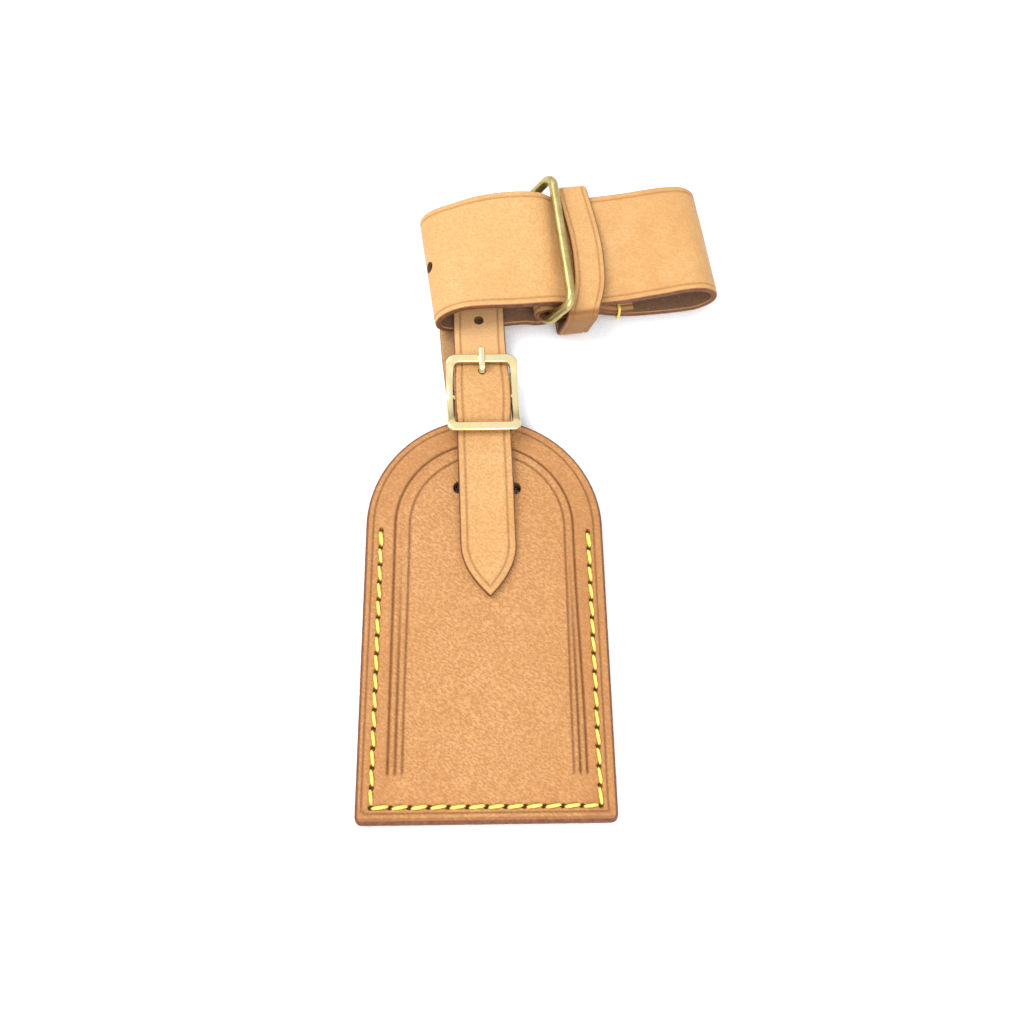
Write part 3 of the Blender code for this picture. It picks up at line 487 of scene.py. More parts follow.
def cut_leather():
    """The raw wall of a punched hole."""
    s = Shader("punched_leather")
    fibres = s.noise(0.5, 5.0, 0.7, 0.8)
    colour = s.mix(fibres, linear(0.30, 0.19, 0.12), linear(0.56, 0.41, 0.29))
    return s.finish(Base_Color=colour, Roughness=0.9, Normal=s.bump(fibres, 0.12, 0.8))


def waxed_thread():
    s = Shader("waxed_linen")
    lay = s.mark("lay")
    fibre = s.noise(0.3, 3.0, 0.6)
    # Painted shade between the thread's plies and painted highlight on their crests.
    colour = s.mix(lay, linear(0.93, 0.81, 0.32), linear(1.0, 0.93, 0.48))
    colour = s.mix(s.window(fibre, 0.45, 0.75, 0.0, 0.25), colour, linear(0.88, 0.77, 0.28))
    # Painted shade where the thread goes down into a hole.
    colour = s.mix(s.mark("sunk"), colour, linear(0.34, 0.23, 0.06))
    relief = s.bump(fibre, 0.03, 0.5)
    return s.finish(Base_Color=colour, Roughness=0.5, Normal=relief, Specular_IOR_Level=0.4)


def pale_brass():
    """Polished, lightly plated brass with soft rub marks and a few pits."""
    s = Shader("pale_brass")
    cloud = s.noise(9, 2.0, 0.5)
    rub = s.noise(0.9, 3.0, 0.6, where=s.stretch((1.0, 5.0, 1.0)))
    specks = s.window(s.cells(3.4), 0.0, 0.07, 1.0, 0.0)
    colour = s.mix(cloud, linear(0.96, 0.90, 0.72), linear(0.92, 0.835, 0.60))
    colour = s.mix(s.math("MULTIPLY", specks, 0.35), colour, linear(0.66, 0.54, 0.28))
    rough = s.math("ADD", s.window(rub, 0.3, 0.7, 0.19, 0.27), s.math("MULTIPLY", specks, 0.3))
    return s.finish(Base_Color=colour, Metallic=1.0, Roughness=rough, Normal=s.bump(rub, 0.01, 0.3))


def antique_brass():
    """Olive antique brass, dulled and finely speckled."""
    s = Shader("antique_brass")
    cloud = s.window(s.noise(4.5, 4.0, 0.6), 0.3, 0.7)
    grain = s.window(s.noise(0.6, 3.0, 0.7), 0.4, 0.6)
    specks = s.window(s.cells(1.1), 0.0, 0.22, 1.0, 0.0)
    colour = s.mix(cloud, linear(0.84, 0.77, 0.54), linear(0.72, 0.635, 0.40))
    colour = s.mix(s.math("MULTIPLY", grain, 0.3), colour, linear(0.54, 0.46, 0.26))
    colour = s.mix(s.math("MULTIPLY", specks, 0.3), colour, linear(0.34, 0.27, 0.13))
    rough = s.window(grain, 0.0, 1.0, 0.3, 0.42)
    relief = s.math("SUBTRACT", grain, specks)
    return s.finish(Base_Color=colour, Metallic=1.0, Roughness=rough, Normal=s.bump(relief, 0.02, 0.5))


def card_stock():
    s = Shader("card_stock")
    fibre = s.noise(0.8, 5.0, 0.7)
    colour = s.mix(fibre, linear(0.93, 0.92, 0.88), linear(0.97, 0.965, 0.94))
    return s.finish(Base_Color=colour, Roughness=0.85, Normal=s.bump(fibre, 0.02, 0.5))


def table_cloth():
    s = Shader("table_cloth")
    weave = s.window(s.cells(0.75, jitter=0.25, where=s.stretch((1.0, 1.0, 1.0), 8.0)), 0.2, 0.6)
    colour = s.mix(weave, (0.9, 0.905, 0.92, 1.0), (0.82, 0.83, 0.85, 1.0))
    return s.finish(Base_Color=colour, Roughness=0.9, Normal=s.bump(weave, 0.12, 0.4))


DARK_SUEDE = (linear(0.44, 0.31, 0.23), linear(0.60, 0.46, 0.35))
LIGHT_SUEDE = (linear(0.62, 0.46, 0.31), linear(0.82, 0.65, 0.47))
# Each leather's light, deep and dark tan, then its creased lines.
TAG_TANS = ((0.825, 0.62, 0.405), (0.765, 0.55, 0.32), (0.655, 0.435, 0.235), (0.43, 0.245, 0.11))
STRAP_TANS = ((0.85, 0.675, 0.46), (0.80, 0.605, 0.37), (0.715, 0.505, 0.28), (0.50, 0.31, 0.15))
BAND_TANS = ((0.87, 0.695, 0.47), (0.835, 0.64, 0.40), (0.745, 0.54, 0.31), (0.54, 0.35, 0.17))
TAG_LEATHER = leather("leather_tag", TAG_TANS, DARK_SUEDE, grain=0.9, mottle=1.0)
STRAP_LEATHER = leather("leather_strap", STRAP_TANS, LIGHT_SUEDE, grain=0.7, mottle=0.85)
BAND_LEATHER = leather("leather_band", BAND_TANS, DARK_SUEDE, grain=0.55, mottle=0.75)
PUNCHED = cut_leather()
THREAD = waxed_thread()
PALE_BRASS = pale_brass()
OLD_BRASS = antique_brass()
CARD_STOCK = card_stock()


# ---- ribbons: strap, handle band and keeper ----
# The radii of a strap's edge at its grain face and its flesh face, and where its columns lie.
GRAIN_ROUND, FLESH_ROUND = 0.45, 0.28
CREASE_COLUMNS = (-0.6, -0.42, -0.28, -0.14, 0.0, 0.14, 0.28, 0.42, 0.6)
FLESH_COLUMNS = (0.6, 1.5, 3.0, 5.0, 8.0, 12.0)


def ribbon_columns(half, crease):
    """Columns round a strap's section, as (side, inset, face, rise, edge, flesh).

    They run from the grain face's middle over the right edge, under the flesh face and up the left
    edge. face is 1 on the grain face and -1 on the flesh face.
    """
    top = [GRAIN_ROUND + 0.02, 0.75] + [crease + k for k in CREASE_COLUMNS] + [crease + 1.1]
    while top[-1] + 2.4 < half:
        top.append(top[-1] + 2.0)
    one_side = [(inset, 1, 0.0, 0.0, 0.0) for inset in reversed(top)]
    for k in range(1, 6):
        a = math.pi / 2 * k / 5
        inset, drop = GRAIN_ROUND * (1 - math.sin(a)), GRAIN_ROUND * (1 - math.cos(a))
        one_side.append((inset, 1, -drop, float(ease(-0.4, 2.6, k)), 0.0))
    for k in range(5):
        a = math.pi / 2 * k / 4
        inset, climb = FLESH_ROUND * (1 - math.cos(a)), FLESH_ROUND * (1 - math.sin(a))
        one_side.append((inset, -1, climb, 1.0 - 0.25 * k * (k > 2), 0.0))
    one_side += [(inset, -1, 0.0, 0.0, 1.0) for inset in FLESH_COLUMNS if inset < half - 0.8]
    columns = [(1, half, 1, 0.0, 0.0, 0.0)] + [(1, *column) for column in one_side]
    return columns + [(1, half, -1, 0.0, 0.0, 1.0)] + [(-1, *column) for column in reversed(one_side)]


def grain_rise(inset, crease, depth):
    """Height of the grain face: a creased line with soft shoulders, rolled off at the strap's edge."""
    past = inset - crease
    line = -depth * dip(past, 0.3) + 0.05 * dip(past - 0.6, 0.4) + 0.04 * dip(past + 0.55, 0.35)
    return line - 0.16 * np.exp(-inset / 0.55)


def ribbon(name, material, half, widths, line, place, age, slants=1.0, closed=False, painted_shade=0.0, painted_light=0.0):
    """Lays a strap's section along its rows; half is its usual half width and widths has each row's own.

    line is the creased line's inset and depth. place(across, face, rise) gives a column's points, and the
    function after it, given an inset, how worn they are and how much shade is painted on them. The last two
    arguments darken rows with painted shade and pale their grain face with painted light.
    """
    crease, depth = line
    count = len(widths)
    columns = ribbon_columns(half, crease)
    shape, marks = [], {k: [] for k in ("edge", "flesh", "groove", "age", "painted_light")}
    for side, inset, face, rise, edge, flesh in columns:
        reach = np.minimum(inset, widths / slants)
        across = side * np.maximum(widths - reach * slants, 0.0)
        groove = np.zeros(count)
        if face > 0:
            rise = rise + grain_rise(reach, crease, depth)
            groove = 0.5 * dip(reach - crease, 0.3)
        shape.append(place(across, face, rise + np.zeros(count)))
        marks["edge"].append(np.full(count, edge))
        marks["flesh"].append(np.full(count, flesh))
        # Painted shade darkens rows like a creased line, and painted light pales the grain face.
        marks["groove"].append(np.maximum(groove, painted_shade) * (1 - edge))
        marks["painted_light"].append(painted_light * np.ones(count) * (face > 0))
        marks["age"].append(age(reach) * np.ones(count))
    verts = np.stack(shape, axis=1)
    faces = grid_faces(count, len(columns), close_rows=closed)
    if not closed:
        faces += end_faces(count, len(columns))
    return make(name, verts, faces, material, {k: np.stack(v, axis=1) for k, v in marks.items()}, smooth=42)


# ---- narrow strap ----
def strap_line():
    """(side offset, y, z) control points of the strap's middle, from its folded end to its tip."""
    by, bz = BUCKLE_Y, BUCKLE_BAR_Z
    fold = BUCKLE_PIN_R + STRAP_PIN_GAP
    under, over = fold + STRAP_FOLD_T / 2, fold + STRAP_T / 2
    wrap = []
    for i in range(7):
        t = -math.pi / 2 + math.pi * i / 6
        r = under + (over - under) * i / 6
        wrap.append((0, by + 0.3 + r * math.cos(t), bz + r * math.sin(t)))
    leg = tag_top(97) + GAP + STRAP_T / 2
    bend = STRAP_SLOT_BEND
    top_z = tag_top(SLOT_Y) + GAP + STRAP_T / 2
    low_z = STRAP_FLOOR + STRAP_T / 2
    rear_y, rear_z = REAR_BEND
    big = rear_z - low_z
    pts = [(0, by - 4.9, bz - 1.75), (0, by - 2.6, bz - 1.72)] + wrap
    pts += [(0, by - 2.4, bz + 1.35), (0, by - 5.0, bz + 0.15), (0, by - 9.0, leg + 0.35)]
    pts += [(0, 100.5, leg + 0.05), (0, SLOT_Y + bend + 2.2, top_z + 0.02)]
    quarter = math.pi / 2
    for z, start in ((top_z - bend, quarter), (low_z + bend, 2 * quarter)):
        pts += [(0, *spot) for spot in arc((SLOT_Y + bend, z), bend, start, start + quarter, 4)]
    pts += [(x, y, low_z) for x, y in ((-0.6, 98), (-2.0, 115), (-3.6, 134), (-4.0, 150), (-2.6, 168))]
    rear = arc((rear_y, rear_z), big, -quarter, quarter, 6)
    pts += [(-0.9 + 0.5 * i / 6, *spot) for i, spot in enumerate(rear)]
    top = rear_z + big
    pts += [(-0.2, 172, top - 0.35), (0, 158, 5.55), (0, 144, 5.2), (0, 136, 5.6)]
    end = BUCKLE_END_Z - BUCKLE_BAR_T / 2 - 0.55 - STRAP_T / 2
    hump = bz + over + STRAP_T + 0.25
    pts += [(0, by + 10.2, end), (0, by + 5.4, hump - 0.75), (0, by + 0.3, hump), (0, by - 5.4, hump - 0.85)]
    pts += [(0, by - 10.3, end), (0, 96, tag_top(96) + 0.6 + 1.5 * STRAP_T + 0.1)]
    # The free end lies on the tag.
    lying = ((88.5, 2.75), (80, 1.5), (70, 1.15), (TIP_Y, 1.05))
    return pts + [(0, y, tag_top(y) + lift) for y, lift in lying]


def build_strap():
    path = spline(strap_line(), 0.55)
    normal = -normals_2d(path[:, 1:])
    length = along(path[:, 1:])
    to_tip = length[-1] - length
    # The last stretch gets closer rows, so that the creased line turns cleanly at the point.
    dense = np.linspace(length[-1] - TIP_LENGTH, length[-1], 44)
    at = np.concatenate([length[to_tip > TIP_LENGTH + 0.3], dense])
    path = np.stack([np.interp(at, length, path[:, k]) for k in range(3)], axis=1)
    normal = np.stack([np.interp(at, length, normal[:, k]) for k in range(2)], axis=1)
    normal /= np.linalg.norm(normal, axis=1)[:, None]
    to_tip = length[-1] - at
    half = STRAP_W / 2
    widths = half * (1 - 0.97 * (1 - np.minimum(to_tip / TIP_LENGTH, 1.0)) ** 2)
    # Inside the buckle the strap is pressed a little wider.
    upper_run = path[:, 2] > BUCKLE_BAR_Z + 2.6
    widths = widths + STRAP_PRESSED * dip(path[:, 1] - BUCKLE_Y, 8.0) * upper_run
    slopes = np.abs(np.gradient(widths, at))
    slants = np.sqrt(1 + np.minimum(slopes, 1.6) ** 2)
    thick = np.clip(STRAP_FOLD_T + (at - 6.0) * 0.08, STRAP_FOLD_T, STRAP_T)

    def place(across, face, rise):
        lift = (face * thick / 2 + rise)[:, None] * normal
        return strap_point(path[:, 0] + across, path[:, 1] + lift[:, 0], path[:, 2] + lift[:, 1])

    def age(reach):
        worn = ease(120, 104, path[:, 1]) * ease(95, 104, path[:, 1])
        return 0.28 * dip(reach, 1.5) + 0.25 * worn + 0.12

    # Painted light: the stretch under the band's overhang is painted paler, against the shade the band casts
    # on it.
    overhang_light = 0.45 * ease(126, 133, path[:, 1]) * ease(151, 146, path[:, 1]) * (path[:, 2] > 4.0)
    strap = ribbon(
        "strap_leather", STRAP_LEATHER, half, widths, STRAP_CREASE, place, age, slants, painted_light=overhang_light
    )
    x_way, y_way = (strap_point(*p, 0) - strap_point(0, 0, 0) for p in ((1, 0), (0, 1)))

    def punch_strap(x, y, z, half_a, half_b, depth, sides=28):
        cut(strap, punch(strap_point(x, y, z), Z, x_way, y_way, half_a, half_b, depth, sides))

    for y in HOLE_YS:
        punch_strap(0, y, 7.6, HOLE_D / 2, HOLE_D / 2, 4.2)
    y, wide, tall = PRONG_HOLE
    punch_strap(0, y, 11.0, wide / 2, tall / 2, 3.4)
    # The slot for the prong in the fold round the bar.
    punch_strap(0, BUCKLE_Y + 1.0, BUCKLE_BAR_Z - 0.4, 1.45, 3.6, 3.0, sides=4)
    for x in STRAP_SEAM_XS:
        punch_strap(x, STRAP_SEAM_Y, BUCKLE_BAR_Z - 0.3, SEAM_HOLE_R, SEAM_HOLE_R, 2.9, sides=12)
    settle(strap, "strap", "strap")


def build_strap_thread():
    top, low = BUCKLE_BAR_Z + 1.78, BUCKLE_BAR_Z - 2.55
    path, y = [(STRAP_SEAM_XS[0], STRAP_SEAM_Y, top - 1.0)], STRAP_SEAM_Y
    for i, (a, b) in enumerate(zip(STRAP_SEAM_XS, STRAP_SEAM_XS[1:])):
        over = i % 2 == 0
        level, inner = (top + 0.1, top - 1.0) if over else (low - 0.1, low + 0.9)
        path += [(a + 0.3, y, level), ((a + b) / 2, y, level), (b - 0.3, y, level), (b, y, inner)]
        if b < STRAP_SEAM_XS[-1]:
            path.append((b, y, low + 0.9 if over else top - 1.0))
    points = evenly(spline([strap_point(*p) for p in path], 0.2), 0.2)
    thread = thread_along("strap_stitches", points, STRAP_THREAD_R, twist=2.6)
    settle(thread, "strap", "strap_thread")


# ---- handle band ----
def band_lines():
    """(u, z) control points of the near and far edges' middle lines, from the folded end to the tail."""
    fold_arc = arc(RING_REAR, RING_R + 0.25 + BAND_FOLD_T / 2, math.pi / 2, 1.5 * math.pi, 6)
    flap = [(66.0, 4.05), (62.6, 4.1), (58.2, 5.2), (54.0, 6.75), (45.6, 6.8), (42.4, 7.75)]
    main = [(41.2, 4.35), (43.4, 4.85), (54.0, 4.85), (58.2, 3.3), (62.6, 2.15), (67.0, 1.4)]
    main += [(72.0, 1.15), (81.0, 1.15)]
    tail = [(13.0, 2.95), (22.0, 2.9), (32.0, 2.9), (36.3, 1.75), (39.4, 1.75), (42.4, 2.8)]
    tail += [(46.0, 2.85), (52.6, 2.85)]
    # The fold shifts opposite ways at the two edges; the shift fades out along the flap and the run below it.
    fold = [(u, z, min(1.0, max(0.0, (58.2 - u) / 12))) for u, z in flap + fold_arc + main]
    near = [(u - FOLD_SKEW * share, z) for u, z, share in fold]
    far = [(u + FOLD_SKEW * share, z) for u, z, share in fold]
    near += [(87.0, 2.0), (90.6, 4.9), (90.6, 8.2), (87.0, 11.4), (81.0, 12.0), (75.0, 11.1), (69.0, 10.3)]
    far += [(87.0, 2.2), (90.8, 5.6), (90.8, 9.4), (87.0, 12.8), (81.0, 13.6), (75.0, 13.1), (69.0, 12.4)]
    near += [(62.5, 9.45), (55.0, 9.35), (47.9, 9.8), (44.8, 10.9), (41.4, 12.2), (37.0, 12.7)]
    far += [(62.5, 11.9), (55.0, 11.65), (48.8, 12.0), (45.4, 13.6), (41.8, 16.2), (37.6, 17.3)]
    near += [(32.0, 12.85), (26.0, 13.4), (20.5, 14.1), (15.4, 14.4), (11.2, 13.5), (8.0, 11.3)]
    far += [(33.0, 17.75), (27.0, 17.6), (21.2, 16.6), (15.4, 14.6), (11.2, 13.0), (8.0, 11.0)]
    tail = [(6.35, 8.2), (6.7, 5.4), (9.0, 3.45)] + tail
    return near + tail, far + tail


def band_seam_holes():
    return [BAND_NEAR + BAND_SEAM_START + BAND_SEAM_PITCH * i for i in range(BAND_SEAM_STITCHES)]


def build_band():
    near, far = band_lines()
    cuts = [max(2, round(math.dist(a, b) / 0.6)) for a, b in zip(near, near[1:])]
    near, far = spline(near, cuts), spline(far, cuts)
    near_n, far_n = -normals_2d(near), -normals_2d(far)
    length = along(near)
    thick = np.clip(BAND_FOLD_T + (length - 33) * 0.06, BAND_FOLD_T, BAND_T)

    def place(across, face, rise):
        share = (across + BAND_W / 2)[:, None] / BAND_W
        line = near * (1 - share) + far * share
        n = near_n * (1 - share) + far_n * share
        n /= np.linalg.norm(n, axis=1)[:, None]
        lift = (face * thick / 2 + rise)[:, None] * n
        return band_point(line[:, 0] + lift[:, 0], BAND_NEAR + BAND_W / 2 + across, line[:, 1] + lift[:, 1])

    def age(reach):
        # Painted shade where the band dips under the ring and the keeper; the band is also darker at its
        # edges and past u = 46.
        front = (length > 110) & (length < 215)
        under = 0.8 * dip(near[:, 0] - 42.5, 4.5) * front
        return 0.25 * dip(reach, 2.0) + under + 0.75 * ease(46, 56, near[:, 0])

    widths = np.full(len(near), BAND_W / 2)
    band = ribbon("band_leather", BAND_LEATHER, BAND_W / 2, widths, BAND_CREASE, place, age)
    # The round hole near the left bend points along its own slanting axis.
    axis, up = 0.47 * Z - 0.88 * U, 0.47 * U + 0.88 * Z
    centre = band_point(BAND_HOLE_AT[0], BAND_NEAR + BAND_W / 2, BAND_HOLE_AT[1]) + axis * 0.75
    cut(band, punch(centre, axis, V, up, BAND_HOLE_D / 2, BAND_HOLE_D / 2, 5.2))
    for v in band_seam_holes():
        cut(band, punch(band_point(BAND_SEAM_U, v, 2.7), Z, U, V, SEAM_HOLE_R, 0.6, 3.6, sides=12))
    settle(band, "band", "band")


def build_band_thread():
    u, r, clear = BAND_SEAM_U, BAND_THREAD_R, 0.04
    top, low = 4.42 + BAND_FOLD_T / 2 + r + clear, 2.4 - BAND_T / 2 - 0.48
    vs = band_seam_holes()
    edge = BAND_NEAR - r - clear - 0.05
    # The first stitch wraps the band's near edge.
    path = [(u, vs[0], low + 1.2), (u, vs[0] - 0.3, low), (u, edge + 0.6, low)]
    path += [(u, edge, (top + low) / 2), (u, edge + 0.6, top), (u, vs[0] + 0.3, top)]
    path += [(u, (vs[0] + vs[1]) / 2, top), (u, vs[1] - 0.3, top)]
    path += [(u, vs[1], top - 1.0), (u, vs[1], low + 1.0)]
    for i in range(1, len(vs) - 1):
        over = i % 2 == 0
        level = top if over else low
        path += [(u, vs[i] + 0.3, level), (u, (vs[i] + vs[i + 1]) / 2, level), (u, vs[i + 1] - 0.3, level)]
        path.append((u, vs[i + 1], level + (-1.0 if over else 1.0)))
        if i < len(vs) - 2:
            path.append((u, vs[i + 1], (low + 1.0) if over else (top - 1.0)))
    points = evenly(spline([band_point(*p) for p in path], 0.25), 0.25)
    thread = thread_along("band_stitches", points, r, twist=1.9)
    settle(thread, "band", "band_thread")


# ---- ring and keeper ----
def rounded_loop(half_a, half_b, radius, per_corner, step):
    """Points of a rounded rectangle, anticlockwise, about step apart on its sides."""
    quarter, a, b = math.pi / 2, half_a - radius, half_b - radius
    corners = enumerate(((a, b), (-a, b), (-a, -b), (a, -b)))
    bends = [arc(corner, radius, quarter * i, quarter * (i + 1), per_corner) for i, corner in corners]
    points = []
    for bend, after in zip(bends, bends[1:] + bends[:1]):
        start, end = np.array(bend[-1]), np.array(after[0])
        pieces = max(1, round(np.linalg.norm(end - start) / step))
        points += bend + [tuple(start + (end - start) * k / pieces) for k in range(1, pieces)]
    return np.array(points)


def build_ring():
    (u0, z0), (u1, z1) = RING_REAR, RING_FRONT
    way = math.cos(RING_YAW) * V + math.sin(RING_YAW) * U
    short = (u1 - u0) * U + (z1 - z0) * Z
    reach = np.linalg.norm(short)
    short = short - way * np.dot(short, way)
    short /= np.linalg.norm(short)
    loop = rounded_loop(RING_LONG / 2, reach / 2, RING_CORNER, 14, 0.8)
    path = band_point(u0, RING_V, z0) + loop[:, :1] * way + (loop[:, 1:] + reach / 2) * short
    ring = tube("wire_ring", path, RING_R, 28, OLD_BRASS, closed=True)
    settle(ring, "ring", "ring")


def keeper_loop(per_corner, step):
    """(u, v, z) points round the keeper's inner face."""
    loop = []
    count = len(KEEPER_CORNERS)
    for i in range(count):
        before, here, after = (np.array(KEEPER_CORNERS[j % count]) for j in (i - 1, i, i + 1))
        p, a, b = here[:3], before[:3], after[:3]
        start = p + (a - p) / np.linalg.norm(a - p) * here[3]
        end = p + (b - p) / np.linalg.norm(b - p) * here[3]
        turn = np.linspace(0, 1, per_corner + 1)
        loop += [start * (1 - t) ** 2 + 2 * p * t * (1 - t) + end * t**2 for t in turn]
        next_start = b + (p - b) / np.linalg.norm(p - b) * after[3]
        pieces = max(2, round(np.linalg.norm(next_start - end) / step))
        loop += [end + (next_start - end) * k / pieces for k in range(1, pieces)]
    return np.array(loop)


def build_keeper():
    loop = keeper_loop(11, 0.9)
    way = np.roll(loop[:, 1:], -1, axis=0) - np.roll(loop[:, 1:], 1, axis=0)
    way /= np.linalg.norm(way, axis=1)[:, None]
    out = np.stack([way[:, 1], -way[:, 0]], axis=1)

    def place(across, face, rise):
        lift = KEEPER_T / 2 + face * KEEPER_T / 2 + rise
        return band_point(loop[:, 0] + across, loop[:, 1] + out[:, 0] * lift, loop[:, 2] + out[:, 1] * lift)

    # Painted shade on the wall at the band's near edge, which faces away from the key light, and along the
    # line where the keeper's top turns down to it.
    wall = ease(139.0, 137.0, loop[:, 1]) * ease(12.6, 11.2, loop[:, 2])
    bend = dip(loop[:, 1] - 137.2, 0.6) * (loop[:, 2] > 10)

    # Its wall term is painted shade.
    def age(reach):
        return 0.45 + 0.3 * dip(reach, 1.4) + 0.5 * wall

    # Both masks paint shade into the keeper's colour.
    painted_shade = np.maximum(0.8 * wall, bend)
    half, widths = KEEPER_W / 2, np.full(len(loop), KEEPER_W / 2)
    keeper = ribbon(
        "keeper_leather", BAND_LEATHER, half, widths, KEEPER_CREASE, place, age, closed=True, painted_shade=painted_shade
    )
    settle(keeper, "keeper", "keeper")


# ---- buckle ----
def frame_outline(half_w, half_l, radii):
    """A rounded rectangle with one radius at its two upper corners and another at its lower ones."""
    top, low = radii
    points = []
    for cx, cy, r, start, (dx, dy), pieces in (
        (half_w - top, half_l - top, top, 0.0, (-1, 0), 24),
        (-half_w + top, half_l - top, top, 0.5, (0, -1), 40),
        (-half_w + low, -half_l + low, low, 1.0, (1, 0), 24),
        (half_w - low, -half_l + low, low, 1.5, (0, 1), 40),
    ):
        points += arc((cx, cy), r, math.pi * start, math.pi * (start + 0.5), 12)
        far = 2 * (half_w - r) if dx else 2 * half_l - top - low
        x, y = points[-1]
        points += [(x + dx * far * k / pieces, y + dy * far * k / pieces) for k in range(1, pieces)]
    return np.array(points)


def build_buckle():
    half_w, half_l = BUCKLE_W / 2, BUCKLE_L / 2
    outer = frame_outline(half_w, half_l, BUCKLE_OUTER_R)
    inner = frame_outline(half_w - BUCKLE_SIDE_W, half_l - BUCKLE_BAR_W, BUCKLE_INNER_R)
    wide = np.linalg.norm(inner - outer, axis=1)[:, None]
    # The section: a flat bar with well rounded edges, taken round from its outer wall over its top.
    columns = []
    for side, top, rising in ((0, 1, True), (1, 1, False), (1, -1, True), (0, -1, False)):
        for k in range(BUCKLE_EDGE_STEPS + 1):
            t = math.pi / 2 * (k if rising else BUCKLE_EDGE_STEPS - k) / BUCKLE_EDGE_STEPS
            inset, drop = BUCKLE_EDGE_R * (1 - math.cos(t)), BUCKLE_EDGE_R * (1 - math.sin(t))
            spot = outer + (inner - outer) * (inset / wide if side == 0 else 1 - inset / wide)
            near = np.minimum(1.0, np.abs(spot[:, 1]) / (half_l - BUCKLE_BAR_W / 2 - 1.2))
            sag = (BUCKLE_END_Z - BUCKLE_BAR_Z) * (1 - near**2) ** 1.25
            z = BUCKLE_END_Z - sag + top * (BUCKLE_BAR_T / 2 - drop)
            columns.append(strap_point(spot[:, 0], BUCKLE_Y + spot[:, 1], z))
    verts = np.stack(columns, axis=1)
    faces = grid_faces(len(outer), len(columns), close_rows=True)
    buckle = make("buckle_frame_brass", verts, faces, PALE_BRASS)
    reach = half_w - BUCKLE_SIDE_W / 2
    pin = strap_point(np.linspace(-reach, reach, 12), BUCKLE_Y, BUCKLE_BAR_Z)
    boolean(buckle, tube("bar", pin, BUCKLE_PIN_R, 24, PALE_BRASS), "UNION")
    shade(buckle, 50)
    settle(buckle, "buckle", "buckle_frame")


def build_prong():
    by, bz = BUCKLE_Y, BUCKLE_BAR_Z
    top = BUCKLE_END_Z + BUCKLE_BAR_T / 2 + 0.15 + PRONG_R
    loop = BUCKLE_PIN_R + 0.2 + PRONG_R * PRONG_FLAT
    pts = []
    for i in range(10):
        t = math.radians(18 + 312 * (1 - i / 10))
        pts.append((by + loop * math.cos(t), bz + loop * math.sin(t)))
    pts += [(by + 2.6, bz + 0.55), (by + 4.4, bz + 0.75), (by + 5.65, bz + 1.6), (by + 6.5, bz + 3.2)]
    pts += [(by + 7.5, top - 0.55), (by + 9.0, top), (by + 11.0, top + 0.05), (by + 13.5, top + 0.02)]
    path = evenly(spline(pts, 0.2), 0.22)
    normal = normals_2d(path)
    left = along(path)[-1] - along(path)
    wide = np.where(left < 0.45, np.sqrt(np.clip(1 - (1 - left / 0.45) ** 2, 0.25, 1)), 1.0)
    sides = 24
    turn = np.arange(sides) * 2 * math.pi / sides
    # A flat bar's section: straighter sides than an oval.
    dx = PRONG_R * wide[:, None] * np.sign(np.cos(turn)) * np.abs(np.cos(turn)) ** 0.55
    dn = PRONG_R * PRONG_FLAT * wide[:, None] * np.sign(np.sin(turn)) * np.abs(np.sin(turn)) ** 0.7
    spot = path[:, None] + dn[..., None] * normal[:, None]
    verts = strap_point(dx, spot[..., 0], spot[..., 1])
    faces = grid_faces(len(path), sides) + end_faces(len(path), sides)
    prong = make("buckle_prong_brass", verts, faces, PALE_BRASS, smooth=60)
    settle(prong, "prong", "buckle_prong")


# ---- tag panels ----
STRAIGHT_STEP, ARC_STEPS, CORNER_STEPS = 0.36, 150, 8
BOTTOM_STEPS = round(TAG_W / STRAIGHT_STEP)
SIDE_STEPS = round((TAG_H - TAG_W / 2) / STRAIGHT_STEP)


def tag_ring(inset):
    """The tag's outline moved inwards, anticlockwise from the lower left; its number of points is fixed."""
    half = TAG_W / 2 - inset
    foot = half + TAG_FLARE
    centre = TAG_H - TAG_W / 2
    r = max(CORNER_R - inset, 0.3)
    t = np.linspace(math.pi, 1.5 * math.pi, CORNER_STEPS + 1)
    left = np.stack([-foot + r + r * np.cos(t), inset + r + r * np.sin(t)], axis=1)
    t = t + math.pi / 2
    right = np.stack([foot - r + r * np.cos(t), inset + r + r * np.sin(t)], axis=1)
    t = np.linspace(0, math.pi, ARC_STEPS + 1)
    arc = np.stack([half * np.cos(t), centre + half * np.sin(t)], axis=1)

    def between(a, b, pieces):
        k = (np.arange(1, pieces) / pieces)[:, None]
        return a + (b - a) * k

    parts = [left, between(left[-1], right[0], BOTTOM_STEPS), right, between(right[-1], arc[0], SIDE_STEPS)]
    parts += [arc, between(arc[-1], left[0], SIDE_STEPS)]
    return np.vstack(parts)


def row_x(row, y):
    """x of a side row of stitches at a height."""
    return row[0] + (row[1] - row[0]) * (np.asarray(y, float) - SEAM_Y) / (SEAM_PITCH * SEAM_SIDE)


def seam_holes():
    ys = SEAM_Y + SEAM_PITCH * np.arange(1, SEAM_SIDE + 1)
    side = [(row_x(SEAM_LEFT, y), y) for y in ys[::-1]]
    bottom = [(x, SEAM_Y) for x in np.linspace(SEAM_LEFT[0], SEAM_RIGHT[0], SEAM_BOTTOM + 1)]
    pts = np.array(side + bottom + [(row_x(SEAM_RIGHT, y), y) for y in ys])
    way = np.gradient(pts, axis=0)
    way /= np.linalg.norm(way, axis=1)[:, None]
    return pts, way


